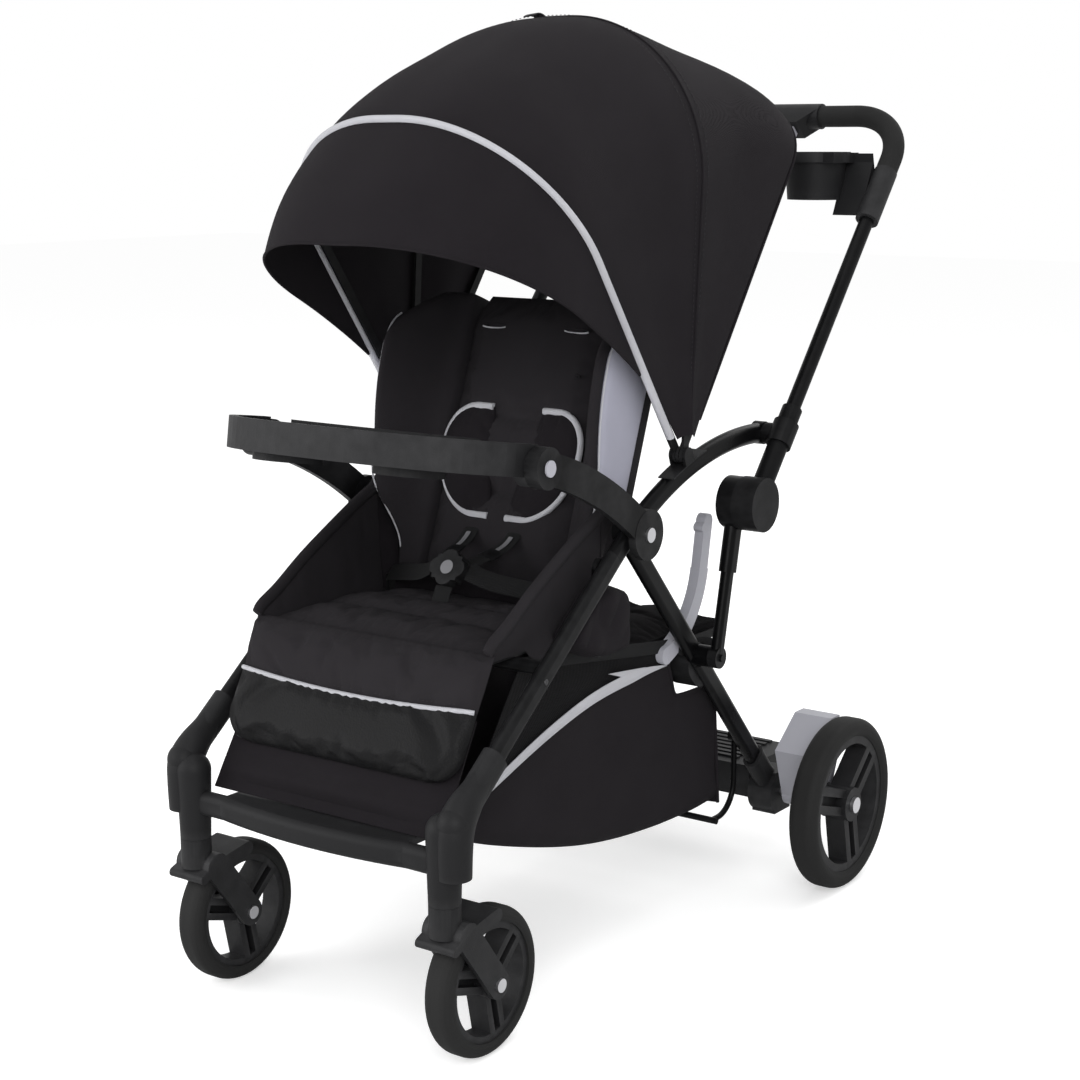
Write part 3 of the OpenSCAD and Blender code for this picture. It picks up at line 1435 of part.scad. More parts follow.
module canopy_rear_panel() {
    start_a = bow_rear_a - strip_a;
    end_a = bow_mid_a - seam_a;
    color(c_fabric) canopy_cloth(hoop_rear, hoop_mid, start_a, end_a, 8, 48, 2 * strip_a / (end_a - start_a));
}

// Visor from the front bow to a scalloped hem, longest in the middle
module canopy_visor() {
    lift = cloth_gap + cloth_t;
    hem_power = 0.55;
    side_share = 0.1;
    tip_share = 0.03;
    function skin(u, v, out) =
        let (dip = 1 - visor_dip_share * u * u)
        let (p = hoop_at(mix(side_share, 1 - side_share, v), hoop_front[0] + out, hoop_front[1] * dip + out,
            hoop_front[2] * dip, canopy_foot))
        let (spread = visor_spread * pow(sin(180 * mix(tip_share, 1 - tip_share, v)), hem_power))
        canopy_at(p, bow_front_a + seam_a + u * spread);
    outer = function (u, v) skin(u, v, lift);
    inner = function (u, v) skin(u, v, cloth_gap);
    color(c_fabric) soft_sheet(6, 40, outer, inner);
}

// Basket

// Side outline of the basket's cloth, front rim to rear rim, inset by the wall
function basket_outline(inset) =
    let (run = basket_rear_y - basket_front_y)
    let (deep = basket_top_h - basket_low_h)
    [for (i = [0:len(basket_run_shares) - 1])
        [basket_front_y + basket_run_shares[i] * run + (i > 0 ? -inset : inset),
         basket_low_h + basket_rise_shares[i] * deep + inset]];

// Open-topped cloth basket whose sides rise to a band under the seat's front cross tube
module basket() {
    deep = basket_top_h - basket_low_h;
    run = basket_rear_y - basket_front_y;
    function rim_line(runs, rises) = [for (i = [0:len(runs) - 1])
        [basket_front_y + runs[i] * run, basket_low_h + rises[i] * deep]];
    rim_seat = [cross_front[0], cross_front[1] - cross_r - gap];
    rim_edge = concat(rim_line(rim_rear_run_shares, rim_rear_rise_shares), [rim_seat],
        rim_line(rim_front_run_shares, rim_front_rise_shares));
    inner = basket_outline(basket_wall);
    last = len(inner) - 1;
    color(c_fabric) difference() {
        plate_x(-basket_half_w, basket_half_w) polygon(concat(basket_outline(0), rim_edge));
        plate_x(basket_wall - basket_half_w, basket_half_w - basket_wall)
            polygon(concat(inner,
                [[inner[last][0], basket_top_h + deep], [inner[0][0], basket_top_h + deep]]));
    }
}

front_legs();
arm_tubes();
leg_socket_left();
leg_socket_right();
footrest_bar();
tray_arm_left();
tray_arm_right();
hub_pins();
canopy_clips();
seat_cross_tubes();
seat_board();
seat_cushion();
calf_rest();
footwell_panel();
basket();
lower_harness();
buckle();
buckle_button();
tray_button_left();
tray_button_right();
child_tray();
backrest_board();
backrest_pad();
shoulder_straps();
harness_pads();
handle_tube();
handle_grip();
fold_housing();
handle_sleeves();
parent_tray();
fold_trigger();
struts();
rear_legs();
axle_boots();
rear_axle();
platform();
bench_board();
bench_cushion();
grab_arms();
basket_wire();
brake_pedal_left();
brake_pedal_right();
caster_fork_left();
caster_fork_right();
front_axle_left();
front_axle_right();
front_rim_left();
front_rim_right();
front_tyre_left();
front_tyre_right();
rear_rim_left();
rear_rim_right();
rear_tyre_left();
rear_tyre_right();
bow_front();
bow_mid();
bow_rear();
canopy_visor();
canopy_front_panel();
canopy_rear_panel();
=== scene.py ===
"""Looks of a tandem sit-and-stand stroller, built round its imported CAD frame."""

import logging
import math
from abc import ABC, abstractmethod
from dataclasses import dataclass
from enum import Enum
from functools import cache
from typing import ClassVar, Iterable, Sequence

import bmesh
import bpy
import numpy as np
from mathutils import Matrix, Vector


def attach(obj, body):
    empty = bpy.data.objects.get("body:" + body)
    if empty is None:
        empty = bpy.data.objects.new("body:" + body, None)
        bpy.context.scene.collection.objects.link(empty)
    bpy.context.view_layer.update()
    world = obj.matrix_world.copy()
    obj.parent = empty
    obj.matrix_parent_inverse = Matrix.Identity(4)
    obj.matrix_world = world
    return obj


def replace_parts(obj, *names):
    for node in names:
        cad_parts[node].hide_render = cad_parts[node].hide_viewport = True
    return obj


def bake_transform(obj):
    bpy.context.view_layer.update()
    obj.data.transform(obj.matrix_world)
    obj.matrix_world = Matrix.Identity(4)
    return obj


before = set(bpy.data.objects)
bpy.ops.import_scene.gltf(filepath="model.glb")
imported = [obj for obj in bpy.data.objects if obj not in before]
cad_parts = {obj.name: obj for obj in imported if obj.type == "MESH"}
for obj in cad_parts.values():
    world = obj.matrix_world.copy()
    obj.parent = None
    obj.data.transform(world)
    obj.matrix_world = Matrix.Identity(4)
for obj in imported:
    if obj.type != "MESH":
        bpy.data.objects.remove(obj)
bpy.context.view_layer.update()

logging.basicConfig(level=logging.INFO, format="%(message)s")
LOG = logging.getLogger("stroller")

Array = np.ndarray
Rgb = tuple[float, float, float]
Place = tuple[float, float, float]
Tree = bpy.types.NodeTree
Node = bpy.types.Node
Socket = bpy.types.NodeSocket
Piece = bpy.types.Object

SIDES = (("left", 1.0), ("right", -1.0))
# Axles of the wheels as (y, z). The wheels stand on the floor, so z is also the tyre's radius.
FRONT_AXLE = (-0.432, 0.0875)
REAR_AXLE = (0.283, 0.119)


class Slot(str, Enum):
    """Material slots of the record."""

    TUBE = "black_tube"
    PLASTIC = "black_plastic"
    GREY = "grey_plastic"
    STEEL = "steel"
    FABRIC = "black_fabric"
    VINYL = "vinyl"
    FOAM = "foam"
    TYRE = "tyre_rubber"


class Body(str, Enum):
    """Rigid bodies of the frame that carry looks."""

    FRONT = "front_frame"
    BACKREST = "backrest"
    REAR = "rear_frame"
    BOW_REAR = "canopy_rear_bow"
    BOW_MID = "canopy_mid_bow"
    BOW_FRONT = "canopy_front_bow"


class Shading:
    """Builds the shared shader node groups once each."""

    @staticmethod
    def _start(
        name: str, inputs: dict[str, float], outputs: Sequence[str]
    ) -> tuple[Tree, Node, Node, Socket]:
        """Opens an empty group with float sockets.

        Args:
            name: Group name.
            inputs: Input socket names and their defaults.
            outputs: Output socket names.

        Returns:
            The new group, its input node, its output node and the place in object metres.
        """
        tree = bpy.data.node_groups.new(name, "ShaderNodeTree")
        for label, value in inputs.items():
            socket = tree.interface.new_socket(label, in_out="INPUT", socket_type="NodeSocketFloat")
            socket.default_value = value
        for label in outputs:
            tree.interface.new_socket(label, in_out="OUTPUT", socket_type="NodeSocketFloat")
        group_in = tree.nodes.new("NodeGroupInput")
        group_out = tree.nodes.new("NodeGroupOutput")
        place = tree.nodes.new("ShaderNodeTexCoord")
        return tree, group_in, group_out, place.outputs["Object"]

    @staticmethod
    def math(tree: Tree, operation: str, *values: Socket | float) -> Socket:
        """Adds a math node.

        Args:
            tree: Tree to add to.
            operation: Math operation name.
            values: Sockets or plain numbers, in input order.

        Returns:
            The node's output socket.
        """
        node = tree.nodes.new("ShaderNodeMath")
        node.operation = operation
        for index, value in enumerate(values):
            if isinstance(value, (int, float)):
                node.inputs[index].default_value = value
            else:
                tree.links.new(value, node.inputs[index])
        return node.outputs[0]

    @staticmethod
    def noise(tree: Tree, place: Socket, scale: float, detail: float) -> Socket:
        """Adds a noise texture and returns its value."""
        node = tree.nodes.new("ShaderNodeTexNoise")
        node.inputs["Scale"].default_value = scale
        node.inputs["Detail"].default_value = detail
        tree.links.new(place, node.inputs["Vector"])
        return node.outputs[0]

    @classmethod
    @cache
    def weave(cls) -> Tree:
        """Plain weave from object metres: height of crossing threads and a slow tint."""
        tree, group_in, group_out, place = cls._start("Weave", {"Threads": 900.0}, ("Height", "Tint"))
        turn = cls.math(tree, "MULTIPLY", group_in.outputs["Threads"], 2 * math.pi)
        threads = []
        for way in ((1.0, 0.0, 0.5), (0.0, 1.0, 0.87)):
            along = tree.nodes.new("ShaderNodeVectorMath")
            along.operation = "DOT_PRODUCT"
            along.inputs[1].default_value = way
            tree.links.new(place, along.inputs[0])
            phase = cls.math(tree, "MULTIPLY", along.outputs["Value"], turn)
            threads.append(cls.math(tree, "SINE", phase))
        tree.links.new(cls.math(tree, "MULTIPLY", *threads), group_out.inputs["Height"])
        tree.links.new(cls.noise(tree, place, 14.0, 4.0), group_out.inputs["Tint"])
        return tree

    @classmethod
    @cache
    def grain(cls) -> Tree:
        """Fine pebble grain of moulded plastic, and a slow tint."""
        tree, group_in, group_out, place = cls._start("Grain", {"Scale": 900.0}, ("Height", "Tint"))
        cells = tree.nodes.new("ShaderNodeTexVoronoi")
        tree.links.new(place, cells.inputs["Vector"])
        tree.links.new(group_in.outputs["Scale"], cells.inputs["Scale"])
        tree.links.new(cells.outputs["Distance"], group_out.inputs["Height"])
        tree.links.new(cls.noise(tree, place, 9.0, 5.0), group_out.inputs["Tint"])
        return tree

    @classmethod
    @cache
    def edge_wear(cls) -> Tree:
        """Share of rubbed edge from the mesh's own sharpness."""
        tree, group_in, group_out, place = cls._start("Edge wear", {"Amount": 0.5}, ("Wear",))
        shape = tree.nodes.new("ShaderNodeNewGeometry")
        sharp = cls.math(tree, "SUBTRACT", shape.outputs["Pointiness"], 0.52)
        ramp = cls.math(tree, "MULTIPLY", sharp, 9.0)
        worn = cls.math(tree, "MULTIPLY", ramp, cls.noise(tree, place, 60.0, 2.0))
        share = cls.math(tree, "MULTIPLY", worn, group_in.outputs["Amount"])
        clamp = tree.nodes.new("ShaderNodeClamp")
        tree.links.new(share, clamp.inputs[0])
        tree.links.new(clamp.outputs[0], group_out.inputs["Wear"])
        return tree

    @classmethod
    @cache
    def dust(cls) -> Tree:
        """Share of dust: patchy, and only on faces that look up."""
        tree, group_in, group_out, place = cls._start("Dust", {"Amount": 0.3}, ("Dust",))
        shape = tree.nodes.new("ShaderNodeNewGeometry")
        split = tree.nodes.new("ShaderNodeSeparateXYZ")
        tree.links.new(shape.outputs["Normal"], split.inputs[0])
        up = cls.math(tree, "MAXIMUM", split.outputs["Z"], 0.0)
        patch = cls.math(tree, "POWER", cls.noise(tree, place, 25.0, 8.0), 3.0)
        lying = cls.math(tree, "MULTIPLY", up, patch)
        share = cls.math(tree, "MULTIPLY", lying, group_in.outputs["Amount"])
        tree.links.new(share, group_out.inputs["Dust"])
        return tree


@dataclass(frozen=True)
class Finish(ABC):
    """One surface finish; build() makes its material once."""

    name: str
    colour: Rgb
    roughness: float
    slot: Slot
    metallic: float = 0.0
    shine: float = 0.1

    _cache: ClassVar[dict[str, bpy.types.Material]] = {}

    def build(self) -> bpy.types.Material:
        """Makes the material, or returns the one made before.

        Returns:
            The finish as a material.
        """
        if self.name not in self._cache:
            material = bpy.data.materials.new(self.name)
            material.use_nodes = True
            shader = material.node_tree.nodes["Principled BSDF"]
            shader.inputs["Base Color"].default_value = (*self.colour, 1.0)
            shader.inputs["Roughness"].default_value = self.roughness
            shader.inputs["Metallic"].default_value = self.metallic
            shader.inputs["Specular IOR Level"].default_value = self.shine
            self.dress(material.node_tree, shader)
            self._cache[self.name] = material
        return self._cache[self.name]

    @abstractmethod
    def dress(self, tree: Tree, shader: Node) -> None:
        """Adds what is special to this kind of finish.

        Args:
            tree: The material's nodes.
            shader: Its Principled node.
        """

    @staticmethod
    def group(tree: Tree, made: Tree, **values: float) -> Node:
        """Adds a shared group.

        Args:
            tree: The material's nodes.
            made: The shared group.
            values: Values for its inputs.

        Returns:
            The group node.
        """
        node = tree.nodes.new("ShaderNodeGroup")
        node.node_tree = made
        for label, value in values.items():
            node.inputs[label].default_value = value
        return node

    @staticmethod
    def bump(tree: Tree, shader: Node, height: Socket, depth: float) -> None:
        """Sends a height to the shader's normal.

        Args:
            tree: The material's nodes.
            shader: Its Principled node.
            height: Height socket.
            depth: Bump distance in metres.
        """
        node = tree.nodes.new("ShaderNodeBump")
        node.inputs["Distance"].default_value = depth
        tree.links.new(height, node.inputs["Height"])
        tree.links.new(node.outputs["Normal"], shader.inputs["Normal"])

    def tint(self, tree: Tree, shader: Node, share: Socket, to: Rgb, gain: float) -> None:
        """Mixes the base colour towards another one.

        Args:
            tree: The material's nodes.
            shader: Its Principled node.
            share: Mixing share.
            to: Colour at full share.
            gain: Factor on the share.
        """
        mix = tree.nodes.new("ShaderNodeMix")
        mix.data_type = "RGBA"
        mix.inputs["A"].default_value = (*self.colour, 1.0)
        mix.inputs["B"].default_value = (*to, 1.0)
        tree.links.new(Shading.math(tree, "MULTIPLY", share, gain), mix.inputs["Factor"])
        tree.links.new(mix.outputs["Result"], shader.inputs["Base Color"])


@dataclass(frozen=True)
class Moulded(Finish):
    """Pebbled plastic with rubbed edges and a little dust."""

    grain: float = 900.0
    depth: float = 0.00012
    wear: float = 0.12

    def dress(self, tree: Tree, shader: Node) -> None:
        """Adds grain, edge wear and dust; see the base class."""
        grain = self.group(tree, Shading.grain(), Scale=self.grain)
        wear = self.group(tree, Shading.edge_wear(), Amount=self.wear)
        dust = self.group(tree, Shading.dust(), Amount=0.08)
        both = Shading.math(tree, "ADD", wear.outputs["Wear"], dust.outputs["Dust"])
        self.tint(tree, shader, both, (0.32, 0.32, 0.33), 0.5)
        rough = Shading.math(tree, "MULTIPLY_ADD", grain.outputs["Tint"], 0.16, self.roughness - 0.08)
        tree.links.new(rough, shader.inputs["Roughness"])
        self.bump(tree, shader, grain.outputs["Height"], self.depth)


@dataclass(frozen=True)
class Coated(Finish):
    """Powder-coated tube: satin, with a faint orange peel."""

    def dress(self, tree: Tree, shader: Node) -> None:
        """Adds orange peel and edge wear; see the base class."""
        grain = self.group(tree, Shading.grain(), Scale=420.0)
        wear = self.group(tree, Shading.edge_wear(), Amount=0.1)
        self.tint(tree, shader, wear.outputs["Wear"], (0.3, 0.3, 0.31), 0.5)
        rough = Shading.math(tree, "MULTIPLY_ADD", grain.outputs["Tint"], 0.14, self.roughness - 0.07)
        tree.links.new(rough, shader.inputs["Roughness"])
        self.bump(tree, shader, grain.outputs["Height"], 0.00003)


@dataclass(frozen=True)
class Woven(Finish):
    """Plain-woven cloth with a soft sheen."""

    threads: float = 900.0
    depth: float = 0.0002

    def dress(self, tree: Tree, shader: Node) -> None:
        """Adds threads, a slow tint, dust and sheen; see the base class."""
        weave = self.group(tree, Shading.weave(), Threads=self.threads)
        dust = self.group(tree, Shading.dust(), Amount=0.06)
        lift = Shading.math(tree, "MULTIPLY_ADD", weave.outputs["Tint"], 0.22, dust.outputs["Dust"])
        self.tint(tree, shader, lift, tuple(min(1.0, 2.2 * c + 0.01) for c in self.colour), 0.9)
        shader.inputs["Sheen Weight"].default_value = 0.01
        shader.inputs["Sheen Roughness"].default_value = 0.5
        self.bump(tree, shader, weave.outputs["Height"], self.depth)


@dataclass(frozen=True)
class Embossed(Finish):
    """Vinyl pressed with small cells."""

    cell: float = 260.0

    def dress(self, tree: Tree, shader: Node) -> None:
        """Adds the cells and a slow change of roughness; see the base class."""
        grain = self.group(tree, Shading.grain(), Scale=self.cell)
        rough = Shading.math(tree, "MULTIPLY_ADD", grain.outputs["Tint"], 0.2, self.roughness - 0.1)
        tree.links.new(rough, shader.inputs["Roughness"])
        self.bump(tree, shader, grain.outputs["Height"], 0.0003)


@dataclass(frozen=True)
class Brushed(Finish):
    """Plain metal."""

    def dress(self, tree: Tree, shader: Node) -> None:
        """Adds a slow change of roughness; see the base class."""
        grain = self.group(tree, Shading.grain(), Scale=500.0)
        rough = Shading.math(tree, "MULTIPLY_ADD", grain.outputs["Tint"], 0.2, self.roughness - 0.1)
        tree.links.new(rough, shader.inputs["Roughness"])


@dataclass(frozen=True)
class Tread(Finish):
    """Tyre rubber with ring grooves about one wheel's axle."""

    axle: tuple[float, float] = (0.0, 0.0)
    radius: float = 0.1

    def dress(self, tree: Tree, shader: Node) -> None:
        """Adds ring grooves, grain and dust; see the base class."""
        place = tree.nodes.new("ShaderNodeTexCoord")
        split = tree.nodes.new("ShaderNodeSeparateXYZ")
        tree.links.new(place.outputs["Object"], split.inputs[0])
        dy = Shading.math(tree, "SUBTRACT", split.outputs["Y"], self.axle[0])
        dz = Shading.math(tree, "SUBTRACT", split.outputs["Z"], self.axle[1])
        parts = [Shading.math(tree, "MULTIPLY", d, d) for d in (dy, dz)]
        square = Shading.math(tree, "ADD", *parts)
        out = Shading.math(tree, "DIVIDE", Shading.math(tree, "SQRT", square), self.radius)
        wave = Shading.math(tree, "SINE", Shading.math(tree, "MULTIPLY", out, 2 * math.pi * 21))
        ring = Shading.math(tree, "GREATER_THAN", wave, 0.72)
        across = Shading.math(tree, "LESS_THAN", out, 0.985)
        groove = Shading.math(tree, "MULTIPLY", Shading.math(tree, "MULTIPLY", ring, across), -1.0)
        grain = self.group(tree, Shading.grain(), Scale=700.0)
        dust = self.group(tree, Shading.dust(), Amount=0.1)
        self.tint(tree, shader, dust.outputs["Dust"], (0.3, 0.29, 0.28), 0.6)
        fine = Shading.math(tree, "MULTIPLY_ADD", grain.outputs["Height"], 0.15, groove)
        self.bump(tree, shader, fine, 0.0009)


class Finishes:
    """Every finish of the stroller."""

    FINE: ClassVar[dict[str, float]] = {"grain": 1500.0, "depth": 0.00005}

    TUBE = Coated("satin black tube", (0.003, 0.003, 0.0033), 0.3, Slot.TUBE, shine=0.07)
    PLASTIC = Moulded("pebbled black plastic", (0.0115, 0.0115, 0.0122), 0.5, Slot.PLASTIC, shine=0.1)
    SMOOTH = Moulded("smooth black plastic", (0.0055, 0.0055, 0.0059), 0.4, Slot.PLASTIC, shine=0.06, **FINE)
    GREY = Moulded("light grey plastic", (0.36, 0.36, 0.4), 0.42, Slot.GREY, shine=0.4, wear=0.05, **FINE)
    GREY_DIM = Moulded("mid grey plastic", (0.16, 0.16, 0.17), 0.45, Slot.GREY, shine=0.2, wear=0.05, **FINE)
    FOAM = Moulded(
        "closed-cell foam",
        (0.016, 0.016, 0.016),
        0.85,
        Slot.FOAM,
        shine=0.1,
        grain=600.0,
        depth=0.0003,
        wear=0.04,
    )
    STEEL = Brushed("zinc steel", (0.6, 0.6, 0.62), 0.32, Slot.STEEL, metallic=1.0, shine=0.5)
    RIVET = Brushed("dark rivet", (0.06, 0.06, 0.062), 0.4, Slot.STEEL, metallic=1.0, shine=0.3)
    VINYL = Embossed("embossed vinyl", (0.0085, 0.0084, 0.0088), 0.42, Slot.VINYL, shine=0.06, cell=420.0)
    CLOTH = Woven("black cloth", (0.0112, 0.0096, 0.0114), 0.8, Slot.FABRIC, shine=0.05)
    # Same black cloth as CLOTH, painted lighter: painted light that makes up for the shade the canopy casts
    # on the seat and backrest.
    CLOTH_SEAT_LIT = Woven("seat cloth painted lighter", (0.019, 0.0172, 0.0194), 0.8, Slot.FABRIC, shine=0.05)
    # Same black cloth painted darker: painted shade on the rear bench, which lies in shade, and inside the
    # strap slots.
    CLOTH_SHADED = Woven(
        "black cloth painted darker", (0.005, 0.0046, 0.0052), 0.85, Slot.FABRIC, shine=0.03, threads=700.0
    )
    CLOTH_GREY = Woven("grey cloth", (0.36, 0.36, 0.43), 0.75, Slot.FABRIC, shine=0.2)
    NET = Woven(
        "black net", (0.006, 0.0058, 0.0064), 0.7, Slot.FABRIC, shine=0.06, threads=330.0, depth=0.0008
    )
    TRIM = Woven("grey trim", (0.52, 0.52, 0.56), 0.6, Slot.FABRIC, shine=0.2, threads=1500.0)
    BINDING = Woven("black binding", (0.014, 0.013, 0.015), 0.6, Slot.FABRIC, shine=0.12, threads=1500.0)
    THREAD = Woven("black thread", (0.022, 0.02, 0.023), 0.5, Slot.FABRIC, shine=0.15, threads=2500.0)
    WEBBING = Woven(
        "black webbing", (0.009, 0.009, 0.0095), 0.6, Slot.FABRIC, shine=0.1, threads=450.0, depth=0.0004
    )


@dataclass
class Studio:
    """Camera, floor and lights."""

    camera_at: Place = (1.48787, -2.13986, 1.01689)
    camera_to: Place = (-0.0714, 0.05, 0.4875)
    lens: float = 67.22
    sensor: float = 36.0
    ambient: float = 0.65
    floor_size: float = 30.0
    floor_grey: float = 0.86
    floor_glow: float = 0.42
    lamps: tuple[tuple[str, Place, float, float], ...] = (
        ("key", (2.4, -3.4, 2.2), 2.4, 105.0),
        ("fill", (-2.8, -3.2, 1.6), 3.0, 95.0),
        ("rim", (0.6, 3.4, 3.0), 2.6, 45.0),
        ("top", (0.0, -0.3, 4.2), 3.4, 35.0),
    )
    lamp_to: Place = (0.0, 0.0, 0.5)

    def build(self) -> None:
        """Makes the camera, floor, world and lights."""
        scene = bpy.context.scene
        scene.view_settings.view_transform = "Standard"
        data = bpy.data.cameras.new("photo camera")
        data.lens = self.lens
        data.sensor_width = self.sensor
        camera = bpy.data.objects.new("photo camera", data)
        scene.collection.objects.link(camera)
        camera.location = self.camera_at
        look = Vector(self.camera_to) - Vector(self.camera_at)
        camera.rotation_mode = "QUATERNION"
        camera.rotation_quaternion = look.to_track_quat("-Z", "Y")
        scene.camera = camera
        self._world(scene)
        self._floor(scene)
        for lamp in self.lamps:
            self._light(*lamp)
        LOG.info("studio: camera, floor and %d lights", len(self.lamps))

    def _world(self, scene: bpy.types.Scene) -> None:
        """White to the camera, a soft grey light to everything else.

        Args:
            scene: The scene that gets the world.
        """
        world = bpy.data.worlds.new("studio")
        world.use_nodes = True
        tree = world.node_tree
        back = tree.nodes["Background"]
        path = tree.nodes.new("ShaderNodeLightPath")
        seen = path.outputs["Is Camera Ray"]
        for ray in ("Is Transmission Ray", "Is Glossy Ray"):
            seen = Shading.math(tree, "MAXIMUM", seen, path.outputs[ray])
        bright = Shading.math(tree, "MULTIPLY_ADD", seen, 1 - self.ambient, self.ambient)
        back.inputs["Color"].default_value = (1.0, 1.0, 1.0, 1.0)
        tree.links.new(bright, back.inputs["Strength"])
        scene.world = world

    def _floor(self, scene: bpy.types.Scene) -> None:
        """Lays a plain white floor.

        Args:
            scene: The scene that gets the floor.
        """
        half = self.floor_size / 2
        mesh = bpy.data.meshes.new("floor")
        corners = [(-half, -half, 0), (half, -half, 0), (half, half, 0), (-half, half, 0)]
        mesh.from_pydata(corners, [], [(0, 1, 2, 3)])
        floor = bpy.data.objects.new("floor", mesh)
        scene.collection.objects.link(floor)
        material = bpy.data.materials.new("white floor")
        material.use_nodes = True
        tree = material.node_tree
        shader = tree.nodes["Principled BSDF"]
        shader.inputs["Base Color"].default_value = (*(3 * [self.floor_grey]), 1.0)
        shader.inputs["Roughness"].default_value = 0.9
        shader.inputs["Specular IOR Level"].default_value = 0.0
        path = tree.nodes.new("ShaderNodeLightPath")
        glow = Shading.math(tree, "MULTIPLY", path.outputs["Is Camera Ray"], self.floor_glow)
        tree.links.new(glow, shader.inputs["Emission Strength"])
        shader.inputs["Emission Color"].default_value = (1.0, 1.0, 1.0, 1.0)
        mesh.materials.append(material)

    def _light(self, name: str, place: Place, size: float, power: float) -> None:
        """Hangs one square area light that looks at the stroller.

        Args:
            name: Light name.
            place: Where it hangs.
            size: Side length in metres.
            power: Power in watts.
        """
        data = bpy.data.lights.new(name, "AREA")
        data.size = size
        data.energy = power
        light = bpy.data.objects.new(name, data)
        bpy.context.scene.collection.objects.link(light)
        light.location = place
        light.rotation_mode = "QUATERNION"
        look = Vector(self.lamp_to) - Vector(place)
        light.rotation_quaternion = look.to_track_quat("-Z", "Y")


CAD_FINISHES: dict[Finish, tuple[str, ...]] = {
    Finishes.TUBE: (
        "front_legs",
        "arm_tubes",
        "seat_cross_tubes",
        "handle_tube",
        "struts",
        "rear_legs",
        "basket_wire",
    ),
    Finishes.PLASTIC: (
        "leg_socket_left",
        "leg_socket_right",
        "footrest_bar",
        "child_tray",
        "fold_housing",
        "parent_tray",
        "axle_boots",
        "platform",
        "caster_fork_left",
        "caster_fork_right",
        "front_rim_left",
        "front_rim_right",
        "rear_rim_left",
        "rear_rim_right",
    ),
    Finishes.SMOOTH: (
        "tray_arm_left",
        "tray_arm_right",
        "canopy_clips",
        "seat_board",
        "buckle",
        "backrest_board",
        "handle_sleeves",
        "bench_board",
        "bow_front",
        "bow_mid",
        "bow_rear",
    ),
    Finishes.GREY: (
        "tray_button_left",
        "tray_button_right",
        "fold_trigger",
        "grab_arms",
        "brake_pedal_left",
        "brake_pedal_right",
    ),
    Finishes.GREY_DIM: ("buckle_button",),
    Finishes.STEEL: ("hub_pins", "rear_axle", "front_axle_left", "front_axle_right"),
    Finishes.FOAM: ("handle_grip",),
}


@dataclass
class CadLooks:
    """Finishes of the CAD nodes that stay in view."""

    by_finish: dict[Finish, tuple[str, ...]]

    @staticmethod
    def give(name: str, finish: Finish) -> None:
        """Gives one CAD node its finish."""
        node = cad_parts[name]
        node.data.materials.clear()
        node.data.materials.append(finish.build())

    def build(self) -> None:
        """Gives every listed node its finish."""
        for finish, nodes in self.by_finish.items():
            for name in nodes:
                self.give(name, finish)
            LOG.info("%s on %d nodes", finish.name, len(nodes))

    @classmethod
    def tyre(cls, name: str, axle: tuple[float, float]) -> None:
        """Gives one tyre its grooves.

        Args:
            name: CAD node.
            axle: Axle place as (y, z); z is the tyre's radius.
        """
        finish = Tread(f"tread {name}", (0.017, 0.017, 0.017), 0.72, Slot.TYRE, axle=axle, radius=axle[1])
        cls.give(name, finish)


